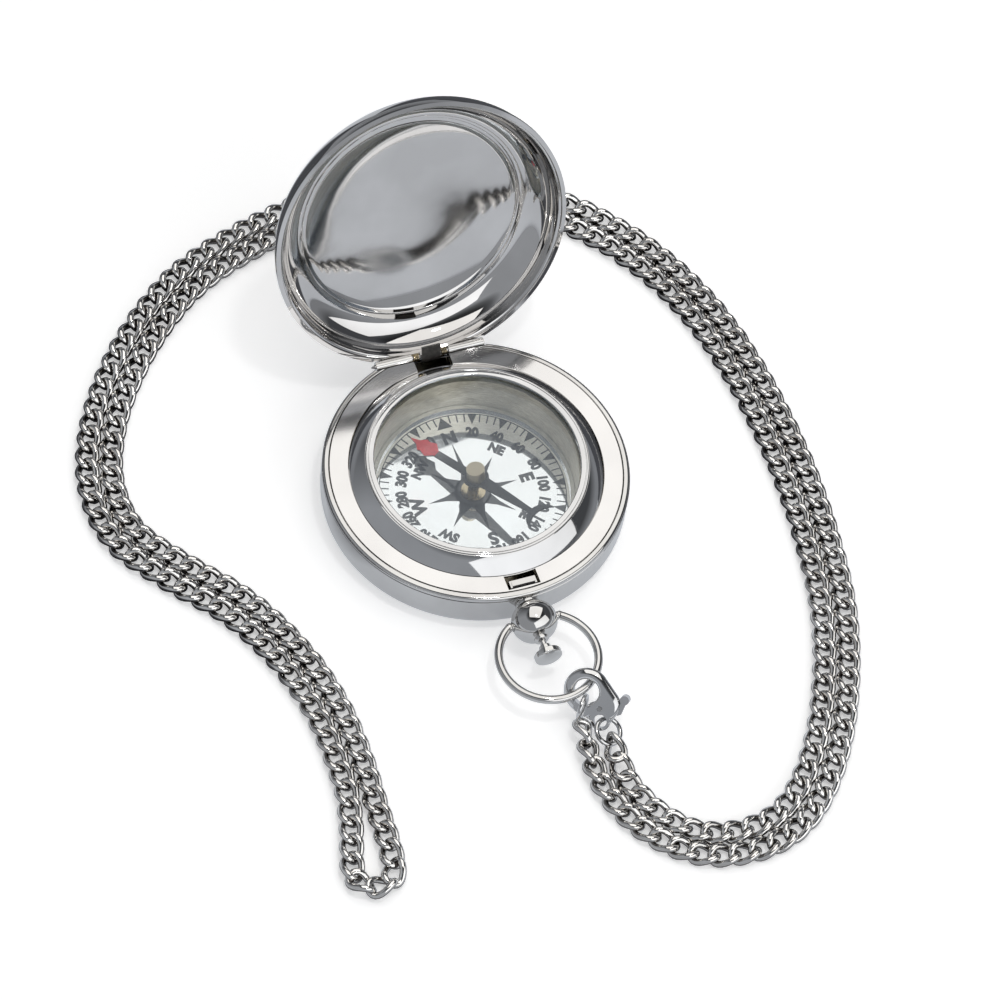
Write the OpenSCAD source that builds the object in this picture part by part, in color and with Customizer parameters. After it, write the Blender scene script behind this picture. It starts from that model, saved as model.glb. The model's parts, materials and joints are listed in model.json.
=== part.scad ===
// Compass pendant: an open round pocket compass with its bow, lobster clasp and folded curb chain.
// Millimetres. The origin is the centre of the case's underside, +Z up, the pendant towards -Y.

/* [Case] */
// Outside diameter of the case
case_d = 50; // [46:0.5:56]
// Height of the flat ring over the underside
case_h = 9; // [8.6:0.1:11]
// Thickness of the case's wall
case_wall = 1.2; // [0.9:0.1:1.5]
// Thickness of the case's back
back_t = 1; // [0.8:0.1:1.2]
// Diameter of the flat foot that the case stands on
foot_d = 36; // [30:1:40]
// Height of the rounded lower edge
edge_h = 3.5; // [2.5:0.25:4]
// Width of the rounded lower edge
edge_w = 2.8; // [2:0.2:3.4]
// Clearance between fixed pieces that seat in each other
seat_gap = 0.05; // [0.03:0.01:0.1]

/* [Ring and bezel] */
// Width of the flat ring
ring_w = 3; // [2.6:0.1:3.4]
// Thickness of the flat ring
ring_t = 0.8; // [0.6:0.1:1]
// Width of the bezel from the flat ring to its lip's inner edge
bezel_w = 4; // [3.6:0.1:4.4]
// Height of the bezel over the flat ring
bezel_h = 2.4; // [2:0.1:2.8]
// Width of the bezel's lip over the glass
lip_w = 0.8; // [0.5:0.1:1]
// Thickness of the bezel's lip
lip_t = 0.6; // [0.5:0.1:0.8]
// Thickness of the glass
glass_t = 1.2; // [0.8:0.1:1.4]

/* [Dial and needle] */
// Wall thickness of the cup that holds the dial
cup_wall = 0.9; // [0.7:0.1:1]
// Thickness of the cup's bottom and of its flange
cup_t = 0.6; // [0.5:0.1:0.8]
// Thickness of the dial
dial_t = 0.3; // [0.2:0.1:0.4]
// Width of the silver ring at the dial's edge
dial_ring_w = 0.7; // [0.5:0.1:1]
// Height of the silver ring at the dial's edge
dial_ring_h = 0.6; // [0.4:0.1:0.8]
// Length of the needle from arrow to tail
needle_l = 27.8; // [24:0.2:29]
// Thickness of the needle
needle_t = 0.3; // [0.2:0.05:0.4]
// Height of the needle over the dial
needle_lift = 4.2; // [3.4:0.2:4.4]
// Turn of the needle from the dial's north, to the west
needle_turn = 31; // [0:1:90]
// Dip of the needle's arrow below the level
needle_dip = 10; // [0:1:10]
// Diameter of the brass cap
cap_d = 3; // [2.8:0.1:3.4]
// Height of the brass cap over the needle
cap_h = 2.4; // [2:0.1:2.5]
// Diameter of the post's foot on the dial
post_foot_d = 4; // [3.4:0.2:4.6]

/* [Lid] */
// How far the lid stands open
open_angle = 110; // [95:1:112]
// Height of the lid over its rim, up to the flat centre's edge
lid_h = 6.6; // [6:0.1:7.4]
// Rise of the dished centre
lid_crown = 1; // [0.6:0.1:1.4]
// Width of the rounded band round the dished centre
lid_band = 6; // [5:0.2:7]
// Thickness of the lid
lid_wall = 0.7; // [0.6:0.1:0.9]
// Height of the lid's upright rim
lid_rim_h = 0.9; // [0.7:0.1:1.2]
// How far the lid's edge stands inside the case's edge
lid_inset = 0.3; // [0.2:0.1:0.5]
// Gap between the closed lid's edge and the flat ring
lid_gap = 0.15; // [0.1:0.05:0.3]

/* [Hinge] */
// Length of the hinge pin
pin_l = 19; // [17:0.5:20]
// Diameter of the hinge pin
pin_d = 0.7; // [0.6:0.05:0.8]
// Wall thickness of the hinge barrels
barrel_wall = 0.35; // [0.3:0.05:0.45]
// Radial running clearance round the hinge pin
pin_clear = 0.05; // [0.03:0.01:0.08]
// Distance of the hinge axis inside the case's edge
hinge_inset = 1.55; // [1.4:0.05:1.8]
// Depth of the hinge axis under the flat ring's top
hinge_drop = 0.2; // [0:0.05:0.4]
// Length of the lid's middle barrel
mid_barrel_l = 3.4; // [3:0.2:4.2]
// Length of each small brass coil
coil_l = 1.2; // [0.9:0.1:1.4]
// Gap between pieces side by side on the hinge pin
side_gap = 0.15; // [0.1:0.05:0.2]
// Thickness of the black leaf
leaf_t = 0.3; // [0.2:0.05:0.4]
// Reach of the black leaf from the hinge axis
leaf_l = 2.4; // [2:0.1:2.4]

/* [Latch and push button] */
// Width of the latch window
window_w = 5.4; // [5:0.1:6]
// Thickness of the latch's tongue
tongue_t = 1.3; // [1:0.1:1.4]
// How far the latch's tongue stands over the flat ring
tongue_up = 0.25; // [0.1:0.05:0.4]
// Travel of the push button
travel = 0.8; // [0.6:0.1:0.9]
// Diameter of the button's shaft
shaft_d = 1.1; // [0.9:0.1:1.3]
// Radial clearance round the button's shaft
shaft_clear = 0.06; // [0.04:0.01:0.1]
// Diameter of the button's head
head_d = 4.5; // [3.7:0.2:4.9]
// Thickness of the button's head
head_t = 1.5; // [1.2:0.1:1.8]
// Diameter of the collar behind the head
collar_d = 2; // [1.6:0.1:2.2]
// Length of the collar behind the head
collar_l = 0.9; // [0.7:0.1:1.2]

/* [Pendant and bow] */
// Height of the pendant's axis over the underside
stem_z = 6.4; // [6:0.1:6.6]
// Length of the pendant's neck from the case to the ball's centre
stem_l = 3.6; // [3.4:0.1:4.2]
// Diameter of the pendant's neck
neck_d = 2.6; // [2.2:0.1:3]
// Diameter of the pendant ball
ball_d = 7.5; // [7:0.1:8]
// Length of the pendant ball along the stem
ball_l = 6.6; // [6.2:0.1:7]
// Outside diameter of the bow
bow_d = 17.3; // [16.4:0.1:18.4]
// Diameter of the bow's wire
bow_wire = 1.4; // [1.1:0.1:1.6]
// Clearance round the bow's ends in the ball
bow_clear = 0.1; // [0.08:0.01:0.15]

/* [Clasp] */
// Outside diameter of the hook
hook_d = 7.5; // [7.3:0.1:7.8]
// Width of the hook's band
hook_band = 1.7; // [1.5:0.1:1.8]
// Height of the hook's centre over the eye's centre
hook_up = 5.2; // [5:0.1:5.6]
// Diameter of the clasp's body
claw_d = 5.8; // [5.4:0.1:6]
// Thickness of the clasp
clasp_t = 2; // [1.8:0.1:2.2]
// Diameter of the clasp's foot
clasp_foot_d = 2.4; // [2.2:0.1:2.6]
// Diameter of the eye's hole
eye_hole_d = 2.1; // [2:0.1:2.3]
// Width of metal round the eye's hole
eye_rim = 0.55; // [0.45:0.05:0.65]
// Thickness of the eye
eye_t = 0.9; // [0.7:0.1:1]
// Thickness of the lever's tongue
lever_t = 0.8; // [0.6:0.1:0.9]
// Thickness of the gate and of the thumb nub
gate_t = 1.4; // [1.2:0.1:1.5]
// Clearance round the lever
lever_gap = 0.08; // [0.06:0.01:0.1]
// Diameter of the thumb nub
nub_d = 1.5; // [1.2:0.1:1.6]
// Diameter of the lever's rivet
rivet_d = 0.8; // [0.6:0.1:0.9]
// Radial clearance round the lever's rivet
rivet_clear = 0.05; // [0.03:0.01:0.08]
// Centre-line diameter of the jump ring
jump_d = 4.2; // [4:0.1:4.4]
// Diameter of the jump ring's wire
jump_wire = 0.8; // [0.7:0.1:0.9]
// Centre-line diameter of the ring at the chain's other end
end_ring_d = 3.8; // [3.7:0.1:4]
// Diameter of that ring's wire
end_ring_wire = 0.8; // [0.7:0.1:0.8]

/* [Chain] */
// Width of the flat chain
chain_w = 3.7; // [3.3:0.1:3.8]
// Thickness of the flat chain
chain_t = 2; // [1.6:0.1:2.2]
// Distance between the two strands' centre lines
strand_gap = 3.9; // [3.8:0.1:4.2]
// Distance between the strands' centre lines at the fold
strand_open = 6.4; // [5.2:0.1:6.8]

/* [Hidden] */

$fn = 64;
fine_fn = 128;
eps = 0.01;

// Radii and heights of the case
case_r = case_d / 2;
bore_r = case_r - case_wall;
rim_drop = 0.45;
rim_round = 0.5;
rim_from = 15;
foot_lift = 0.6;
ring_ro = bore_r - seat_gap;
ring_ri = bore_r - ring_w;
bezel_ro = ring_ri - seat_gap;
bezel_ri = bezel_ro - bezel_w;
bezel_top = case_h + bezel_h;
glass_r = bezel_ri + lip_w;
glass_top = bezel_top - lip_t - seat_gap;
glass_low = glass_top - glass_t;
cup_ro = glass_r + seat_gap;
cup_ri = cup_ro - cup_wall;
cup_low = back_t + seat_gap;
cup_top = glass_low - seat_gap;
flange_top = case_h - ring_t - seat_gap;
dial_r = cup_ri - seat_gap;
dial_low = cup_low + cup_t + seat_gap;
dial_top = dial_low + dial_t;
needle_z = dial_top + needle_lift;
hub_r = cap_d / 2 + 0.6;
pin_r = 0.35;
pin_tip_z = needle_z + cap_h / 2;

// Hinge
hinge_y = case_r - hinge_inset;
hinge_z = case_h - hinge_drop;
barrel_ri = pin_d / 2 + pin_clear;
barrel_r = barrel_ri + barrel_wall;
barrel_x0 = mid_barrel_l / 2 + 2 * side_gap + coil_l;
notch_half = pin_l / 2 + side_gap;
notch_y = hinge_y - barrel_r - side_gap;
notch_low = case_h - 2.4;
leaf_w = mid_barrel_l - 0.2;
slot_half = mid_barrel_l / 2 + side_gap + coil_l;

// Lid, closed
lid_r = case_r - lid_inset;
lid_low = case_h + lid_gap;
lid_top = lid_low + lid_h;
disc_r = lid_r - lid_band;
lid_step = 0.3;
lid_notch_top = hinge_z + barrel_r + side_gap;

// Latch and button
window_y0 = ring_ri - seat_gap;
window_y1 = bore_r - 0.4;
tongue_w = window_w - 1;
tongue_y = window_y1 - 0.25;
latch_low = stem_z - 1.2;
ball_y = -(case_r + stem_l);
ball_end = ball_l / 2;
boss_l = 0.4;
boss_d = 2.4;
collar_y = ball_y - ball_end - boss_l - travel - 0.3;
head_y = collar_y - collar_l;

// Bow: its ends turn into the ball's sides
bow_r = (bow_d - bow_wire) / 2;
bow_end_x = ball_d / 2 + 0.45;
bow_y = ball_y - sqrt(bow_r * bow_r - bow_end_x * bow_end_x);
bow_stub_x = ball_d / 2 - 1.3;
bow_knuckle = 0.05;
bow_stub_r = bow_wire / 2 - bow_knuckle;
bow_gap_angle = asin(bow_end_x / bow_r);
bow_front = bow_y - bow_r - bow_wire / 2;

// Clasp: the spot on the bow that the hook hangs on, where it runs through, and how the clasp lies
bow_hang = -62;
catch_x = 0.05;
catch_up = 0.6;
clasp_yaw = 13.5;
clasp_pitch = 32;
clasp_roll = -38;
hook_r = hook_d / 2;
hole_r = hook_r - hook_band;
claw_at = [1.4, hook_up - 3];
foot_at = [0.35, 0.15];
lever_at = [0.9, hook_up - 3.3];
gate_out = 4.15;
gate_in = 2;
gate_from = 130;
gate_to = 186;
gate_swing = 10;
gate_thin = 0.3;
gate_cut_turn = 2.5;
arm_knee = lever_at + [2.5, -1.8];
arm_from = -46;
arm_to = -28;
slot_from = -66;
slot_to = -6;
nub_at = [claw_at[0] + claw_d / 2 + nub_d / 2 + 0.05, lever_at[1] - 0.3];
jump_turn = 50;
jump_swing = 12;
end_ring_angle = 230;
end_ring_in = 0.9;

// Chain: the middle line between its two strands, from the clasp to the fold, from the bow's front
route_offsets = [
    [3.4, -9.3], [4.1, -15], [7, -21.5], [12.5, -27], [20, -29], [27.5, -27.5], [34, -22.5],
    [40.5, -13.5], [46, -2], [49.5, 9], [51.5, 21], [52.5, 33], [52.5, 45], [51.5, 57], [49, 69],
    [44.5, 80], [37.5, 90], [28.5, 98], [17, 103.5], [4, 106], [-9, 105.5], [-21, 102.5],
    [-31.5, 98], [-40.5, 91], [-48.5, 82], [-54.5, 72], [-57.5, 62], [-56.5, 52], [-50.5, 43],
    [-43.5, 34.5], [-38.5, 24.5], [-35.5, 13], [-35, 1], [-36, -9], [-37.5, -17]];
chain_route = [for (p = route_offsets) [p[0], p[1] + bow_front]];
// Where the outer strand climbs to its end ring
chain_lead = [[1.7, bow_front - 6, 1.1], [1.9, bow_front - 2.5, 1.7]];
lead_widths = [0.8, 0.6];
chain_rings = 34;
fold_rings = 4;
open_share = 0.05;
side_names = [1, -1];

// Functions
function arc(cx, cy, rx, ry, a0, a1, n) =
    [for (i = [0 : n]) let (a = a0 + (a1 - a0) * i / n) [cx + rx * cos(a), cy + ry * sin(a)]];

// A smooth curve through the route, at s counted in points
function route_point(s) =
    let (last = len(chain_route) - 1,
        i = min(floor(s), last - 1),
        t = s - i,
        b = chain_route[i],
        c = chain_route[i + 1],
        a = i > 0 ? chain_route[i - 1] : 2 * b - c,
        d = i + 1 < last ? chain_route[i + 2] : 2 * c - b)
    0.5 * (2 * b + (c - a) * t + (2 * a - 5 * b + 4 * c - d) * t * t + (3 * b - a - 3 * c + d) * t * t * t);

function unit(v) = v / norm(v);
function route_way(s) =
    let (last = len(chain_route) - 1)
    unit(route_point(min(s + 0.05, last)) - route_point(max(s - 0.05, 0)));

// Half the distance between the strands, wider towards the fold
function blend(t) = let (u = min(max(t, 0), 1)) u * u * (3 - 2 * u);
function half_gap(share) =
    let (near_end = 1 - blend((1 - share) / open_share))
    (strand_gap + (strand_open - strand_gap) * near_end) / 2;

function strand_point(share, side) =
    let (s = share * (len(chain_route) - 1),
        p = route_point(s),
        w = route_way(s),
        g = half_gap(share) * side)
    [p[0] - w[1] * g, p[1] + w[0] * g, chain_t / 2];

fold_way = route_way(len(chain_route) - 1);
fold_mid = route_point(len(chain_route) - 1);
function fold_point(a) =
    let (r = strand_open / 2)
    [fold_mid[0] - fold_way[1] * r * cos(a) + fold_way[0] * r * sin(a),
        fold_mid[1] + fold_way[0] * r * cos(a) + fold_way[1] * r * sin(a), chain_t / 2];

chain_path = concat(
    [for (i = [0 : chain_rings]) strand_point(i / chain_rings, 1)],
    [for (i = [1 : fold_rings - 1]) fold_point(180 * i / fold_rings)],
    [for (i = [chain_rings : -1 : 0]) strand_point(i / chain_rings, -1)],
    chain_lead);

// Flat oval section of the chain, eight points from the outer side round
chain_section = [for (k = [0 : 7]) let (a = 22.5 + 45 * k)
    [chain_w / 2 * cos(a) / cos(22.5), chain_t / 2 * sin(a) / sin(67.5)]];

function path_way(p, i) = unit(p[min(i + 1, len(p) - 1)] - p[max(i - 1, 0)]);
function width_at(i, m) = i < m - len(lead_widths) ? 1 : lead_widths[i - m + len(lead_widths)];
function section_at(p, i, section) =
    let (w = path_way(p, i), side = unit([-w[1], w[0], 0]), up = cross(w, side), k = width_at(i, len(p)))
    [for (q = section) p[i] + side * q[0] * k + up * q[1]];

module swept(path, section) {
    n = len(section);
    m = len(path);
    points = [for (i = [0 : m - 1]) each section_at(path, i, section)];
    walls = [for (i = [0 : m - 2], k = [0 : n - 1])
        [i * n + k, (i + 1) * n + k, (i + 1) * n + (k + 1) % n, i * n + (k + 1) % n]];
    first = [[for (k = [0 : n - 1]) k]];
    last = [[for (k = [n - 1 : -1 : 0]) (m - 1) * n + k]];
    polyhedron(points, concat(walls, first, last));
}

module ring_solid(d, wire) {
    rotate_extrude($fn = 64) translate([d / 2, 0]) circle(d = wire, $fn = 24);
}

module along_x(length, r) {
    translate([-length / 2, 0, 0]) rotate([0, 90, 0]) cylinder(h = length, r = r);
}

module along_y(y0, y1, r) {
    translate([0, y1, 0]) rotate([90, 0, 0]) cylinder(h = y1 - y0, r = r);
}

// A box between two corners
module block(low, high) {
    translate(low) cube(high - low);
}

// Places at the hinge and turns of the lid
module at_hinge() {
    translate([0, hinge_y, hinge_z]) children();
}

module opened() {
    at_hinge() rotate([-open_angle, 0, 0]) translate([0, -hinge_y, -hinge_z]) children();
}

// Case: back, rounded edge, wall, hinge barrels, neck and ball
case_outer = concat(
    [[0, 0], [foot_d / 2, 0], [case_r - edge_w, foot_lift]],
    [for (p = arc(case_r - edge_w, edge_h, edge_w, edge_h - foot_lift, -80, 0, 8)) p],
    [[case_r, case_h - rim_drop]],
    arc(case_r - rim_round, case_h - rim_drop, rim_round, rim_drop, rim_from, 90, 5));
case_inner = concat(
    [[bore_r, case_h], [bore_r, edge_h]],
    arc(bore_r - edge_w + case_wall, edge_h, edge_w - case_wall, edge_h - foot_lift - back_t, -10, -90, 6),
    [[foot_d / 2, back_t], [0, back_t]]);

module pendant_ball() {
    bulge = ball_end;
    translate([0, ball_y, stem_z]) rotate([90, 0, 0]) rotate_extrude($fn = 64)
        intersection() {
            translate([(ball_d - ball_l) / 2, 0]) circle(r = bulge);
            translate([0, -ball_l]) square([ball_d, 2 * ball_l]);
        }
}

module case_body() {
    color("silver") difference() {
        union() {
            difference() {
                rotate_extrude($fn = fine_fn) polygon(concat(case_outer, case_inner));
                block([-notch_half, notch_y, notch_low], [notch_half, case_r + 1, case_h + 1]);
            }
            for (side = side_names) hinge_arm(side);
            translate([0, 0, stem_z]) along_y(ball_y, -case_r + 0.4, neck_d / 2);
            translate([0, 0, stem_z]) along_y(-case_r - 0.5, -case_r + 0.4, neck_d / 2 + 0.45);
            translate([0, 0, stem_z]) along_y(ball_y - ball_end - boss_l, ball_y, boss_d / 2);
            pendant_ball();
        }
        at_hinge() along_x(pin_l + 2, barrel_ri);
        translate([0, 0, stem_z]) along_y(ball_y - ball_l, -bore_r + 1, shaft_d / 2 + shaft_clear);
        translate([0, ball_y, stem_z]) along_x(ball_d + 2, bow_wire / 2 + bow_clear);
    }
}

// An outer hinge barrel on its soldered foot
module hinge_arm(side) {
    x1 = pin_l / 2 - side_gap;
    long = x1 - barrel_x0;
    translate([side * (barrel_x0 + long / 2), 0, 0]) {
        at_hinge() along_x(long, barrel_r);
        block([-long / 2, notch_y + side_gap, notch_low - 1.2], [long / 2, hinge_y + side_gap, hinge_z]);
    }
}

// Flat ring with the latch window and the slot at the hinge
module ring_plate() {
    color("gainsboro") translate([0, 0, case_h - ring_t]) difference() {
        cylinder(h = ring_t, r = ring_ro, $fn = fine_fn);
        translate([0, 0, -1]) cylinder(h = ring_t + 2, r = ring_ri, $fn = fine_fn);
        block([-window_w / 2, -window_y1, -1], [window_w / 2, -ring_ri + 1, ring_t + 1]);
        block([-notch_half, notch_y, -1], [notch_half, case_r, ring_t + 1]);
        block([-slot_half, ring_ri - 1, -1], [slot_half, case_r, ring_t + 1]);
    }
}

// Bezel: the sloped ring, its bead and the lip over the glass
module bezel() {
    lip_r = bezel_ri + 0.25;
    bead_r = bezel_ri + lip_w + 0.6;
    profile = concat(
        [[bezel_ri, bezel_top - lip_t], [bezel_ri, bezel_top - 0.25]],
        arc(lip_r, bezel_top - 0.25, 0.25, 0.25, 180, 90, 4),
        [[bead_r - 0.3, bezel_top]],
        arc(bead_r - 0.3, bezel_top - 0.3, 0.3, 0.3, 90, 0, 4),
        [[bead_r, bezel_top - 0.55], [bead_r + 0.2, bezel_top - 0.7]],
        arc(bead_r + 0.2, case_h, bezel_ro - bead_r - 0.2, bezel_h - 0.7, 80, 0, 8),
        [[bezel_ro, flange_top + seat_gap], [cup_ro + seat_gap, flange_top + seat_gap],
            [cup_ro + seat_gap, bezel_top - lip_t]]);
    color("lightgray") rotate_extrude($fn = fine_fn) polygon(profile);
}

module glass() {
    color("lightblue", 0.4) translate([0, 0, glass_low]) cylinder(h = glass_t, r = glass_r, $fn = fine_fn);
}

// Cup that holds the dial, the glass and the two rings over it
module dial_cup() {
    profile = [[0, cup_low], [cup_ro, cup_low], [cup_ro, flange_top - cup_t], [ring_ro, flange_top - cup_t],
        [ring_ro, flange_top], [cup_ro, flange_top], [cup_ro, cup_top], [cup_ri, cup_top],
        [cup_ri, cup_low + cup_t], [0, cup_low + cup_t]];
    color("tan") difference() {
        rotate_extrude($fn = fine_fn) polygon(profile);
        block([-slot_half, cup_ro + 0.5, flange_top - 1], [slot_half, case_r, flange_top + 1]);
        block([-notch_half, notch_y, flange_top - 1], [notch_half, case_r, flange_top + 1]);
        block([-window_w / 2, -case_r, flange_top - 1], [window_w / 2, -window_y0 + 1, flange_top + 1]);
        cylinder(h = dial_low, r = 0.7);
    }
}

module dial_ring() {
    color("silver") translate([0, 0, dial_top + seat_gap]) difference() {
        cylinder(h = dial_ring_h, r = dial_r, $fn = fine_fn);
        translate([0, 0, -1]) cylinder(h = dial_ring_h + 2, r = dial_r - dial_ring_w, $fn = fine_fn);
    }
}

module dial() {
    color("silver") translate([0, 0, dial_low]) difference() {
        cylinder(h = dial_t, r = dial_r, $fn = fine_fn);
        translate([0, 0, -1]) cylinder(h = dial_t + 2, r = 0.7);
    }
}

// Post: a stem through the dial and the cup, its foot, and the pin that the cap turns on
module pivot_post() {
    r = 0.7 - seat_gap;
    foot_z = dial_top + seat_gap;
    color("goldenrod") union() {
        translate([0, 0, cup_low]) cylinder(h = foot_z - cup_low + eps, r = r);
        translate([0, 0, foot_z]) cylinder(h = 0.4, r = post_foot_d / 2);
        translate([0, 0, foot_z]) cylinder(h = 1.4, r = 0.9);
        translate([0, 0, foot_z]) cylinder(h = pin_tip_z - foot_z, r = pin_r);
    }
}

// Turns the needle and its cap, and lets the arrow dip about the pin's tip
module dipped() {
    translate([0, 0, pin_tip_z]) rotate([0, 0, needle_turn]) rotate([-needle_dip, 0, 0])
        translate([0, 0, -pin_tip_z]) children();
}

// Needle, its arrow along +Y before its turn: a hub, the arrow, the tail's bar and its crescent
module needle_arrow() {
    half = needle_l / 2;
    side = [[0.7, hub_r - 0.4], [0.65, half - 5.4], [1.6, half - 4.3], [1.15, half - 3], [1.35, half - 2.5],
        [0.5, half - 1.6]];
    polygon(concat(side, [[0, half]], [for (i = [len(side) - 1 : -1 : 0]) [-side[i][0], side[i][1]]]));
}

module needle_tail() {
    half = needle_l / 2;
    polygon([[1.2, 0], [0.45, 3 - half], [0.45, 2 - half], [-0.45, 2 - half], [-0.45, 3 - half], [-1.2, 0]]);
}

module needle_crescent() {
    half = needle_l / 2;
    difference() {
        translate([0, -half - 0.3]) circle(r = 2.9);
        translate([0, -half - 2.2]) circle(r = 3.6);
    }
}

module needle() {
    color("dimgray") dipped() translate([0, 0, needle_z]) difference() {
        union() {
            cylinder(h = needle_t, r = hub_r);
            linear_extrude(needle_t) needle_arrow();
            linear_extrude(needle_t) needle_tail();
            linear_extrude(needle_t) needle_crescent();
        }
        translate([0, 0, -1]) cylinder(h = needle_t + 2, r = cap_d / 2 - 0.4);
    }
}

// Brass cap: sits on the needle, with its stem in the needle's hole and a blind coned bore over the pin
module needle_cap() {
    low = needle_z - 0.5;
    bore_low = low - 1;
    bore_top = pin_tip_z + 0.15;
    bore_end_r = pin_r + pin_clear + 0.05;
    bore_h = bore_top - bore_low;
    color("darkgoldenrod") dipped() difference() {
        union() {
            translate([0, 0, needle_z + needle_t + 0.02]) cylinder(h = cap_h - needle_t, r = cap_d / 2);
            translate([0, 0, low]) cylinder(h = 1, r = cap_d / 2 - 0.4 - seat_gap);
        }
        translate([0, 0, bore_low])
            cylinder(h = bore_h, r1 = bore_end_r + bore_h * tan(needle_dip), r2 = bore_end_r);
    }
}

// Lid, drawn closed: upright rim, rounded band, dished centre
lid_outer = concat(
    [[lid_r, lid_low + 0.1], [lid_r, lid_low + lid_rim_h - 0.15], [lid_r - 0.25, lid_low + lid_rim_h]],
    arc(disc_r, lid_low + lid_rim_h, lid_band - 0.25, lid_h - lid_rim_h, 8, 90, 14),
    [for (i = [1 : 5]) [disc_r * (1 - i / 5), lid_top + lid_crown * (1 - pow(1 - i / 5, 2))]]);
lid_inner_r = lid_r - lid_wall - 0.5;
lid_inner = concat(
    [for (i = [5 : -1 : 0]) let (u = 1 - i / 5)
        [(disc_r - 0.3) * u, lid_top - lid_wall + lid_crown * (1 - u * u)]],
    [[disc_r, lid_top - lid_wall - lid_step]],
    arc(disc_r, lid_low + lid_rim_h, lid_inner_r - disc_r, lid_h - lid_rim_h - lid_wall - lid_step,
        85, 0, 12),
    [[lid_inner_r, lid_low + 0.5], [lid_inner_r + 0.4, lid_low + 0.4], [lid_inner_r + 0.4, lid_low],
        [lid_r - 0.1, lid_low]]);

module lid_closed() {
    difference() {
        union() {
            difference() {
                rotate_extrude($fn = fine_fn) polygon(concat(lid_outer, lid_inner));
                block([-notch_half, notch_y, 0], [notch_half, case_r + 1, lid_notch_top]);
            }
            at_hinge() along_x(mid_barrel_l, barrel_r);
            block([-mid_barrel_l / 2, hinge_y, hinge_z],
                [mid_barrel_l / 2, hinge_y + barrel_r, lid_notch_top + 0.5]);
        }
        at_hinge() along_x(mid_barrel_l + 1, barrel_ri);
    }
}

module lid() {
    color("silver") opened() lid_closed();
}

// Black leaf, drawn closed: laps under the lid's barrel and reaches inward from it
module lid_spring() {
    r0 = barrel_r + 0.03;
    half = leaf_w / 2;
    color("black") opened() {
        at_hinge() rotate([0, 90, 0]) translate([0, 0, -half]) rotate_extrude(angle = 80, $fn = 48)
            translate([r0, 0]) square([leaf_t, leaf_w]);
        block([-half, hinge_y - leaf_l, hinge_z - r0 - leaf_t], [half, hinge_y + eps, hinge_z - r0]);
    }
}

module hinge_pin() {
    color("gray") at_hinge() {
        along_x(pin_l, pin_d / 2);
        translate([-pin_l / 2 - 0.6, 0, 0]) rotate([0, 90, 0]) cylinder(h = 0.6, r1 = 0.12, r2 = pin_d / 2);
    }
}

// A small brass coil on the pin, as a grooved sleeve
module spring_coil(side) {
    turns = 4;
    pitch = coil_l / turns;
    r = barrel_r - 0.05;
    profile = concat([[barrel_ri, 0]], [for (i = [0 : turns - 1], q = [0, 1])
        q == 0 ? [r - 0.15, i * pitch] : [r, (i + 0.5) * pitch]], [[r - 0.15, coil_l], [barrel_ri, coil_l]]);
    x0 = mid_barrel_l / 2 + side_gap;
    color("goldenrod") at_hinge() translate([side > 0 ? x0 : -x0 - coil_l, 0, 0]) rotate([0, 90, 0])
        rotate_extrude($fn = 48) polygon(profile);
}

module spring_coil_left() {
    spring_coil(-1);
}

module spring_coil_right() {
    spring_coil(1);
}

// Latch: a tongue that shows in the window, over a block that the button pushes
module latch() {
    half = tongue_w / 2;
    y0 = -tongue_y;
    top = case_h + tongue_up;
    color("whitesmoke") difference() {
        union() {
            block([-half, y0, latch_low], [half, y0 + tongue_t, top - 0.3]);
            block([-half + 0.3, y0 + 0.15, latch_low], [half - 0.3, y0 + tongue_t - 0.3, top]);
        }
        block([-half - 1, y0 - 1, latch_low - 1], [half + 1, y0 + 0.35, stem_z + 1.1]);
    }
}

// Push button: shaft, collar and a round head with a coned back
module push_button() {
    back = 0.45;
    head = [[0, 0], [collar_d / 2, 0], [head_d / 2, back], [head_d / 2, head_t - 0.35],
        [head_d / 2 - 0.3, head_t - 0.08], [0, head_t]];
    color("silver") translate([0, 0, stem_z]) {
        along_y(collar_y - eps, -tongue_y + 0.35 - seat_gap, shaft_d / 2);
        along_y(head_y - eps, collar_y, collar_d / 2);
        translate([0, head_y, 0]) rotate([90, 0, 0]) rotate_extrude($fn = 64) polygon(head);
    }
}

// Bow: a wire ring whose ends turn into the ball
module bow() {
    turn = 360 - 2 * bow_gap_angle;
    color("silver") translate([0, 0, stem_z]) {
        translate([0, bow_y, 0]) rotate_extrude(angle = turn, start = 90 + bow_gap_angle, $fn = 96)
            translate([bow_r, 0]) circle(d = bow_wire, $fn = 32);
        for (side = side_names) translate([side * bow_end_x, ball_y, 0]) {
            sphere(r = bow_wire / 2 + bow_knuckle, $fn = 32);
            translate([-side * (bow_end_x - bow_stub_x) / 2, 0, 0])
                along_x(bow_end_x - bow_stub_x, bow_stub_r);
        }
    }
}

// Where the clasp hangs on the bow
module at_clasp() {
    translate([bow_r * cos(bow_hang), bow_y + bow_r * sin(bow_hang), stem_z])
        rotate([0, 0, clasp_yaw]) rotate([clasp_pitch, 0, 0]) rotate([0, clasp_roll, 0])
            translate([-catch_x, -hook_up - catch_up, 0]) children();
}

// Angle of the outer tangent from one circle to the next, going round the outline
function tangent_angle(a, ra, b, rb) =
    let (d = b - a) atan2(d[1], d[0]) - acos((ra - rb) / norm(d));

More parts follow.
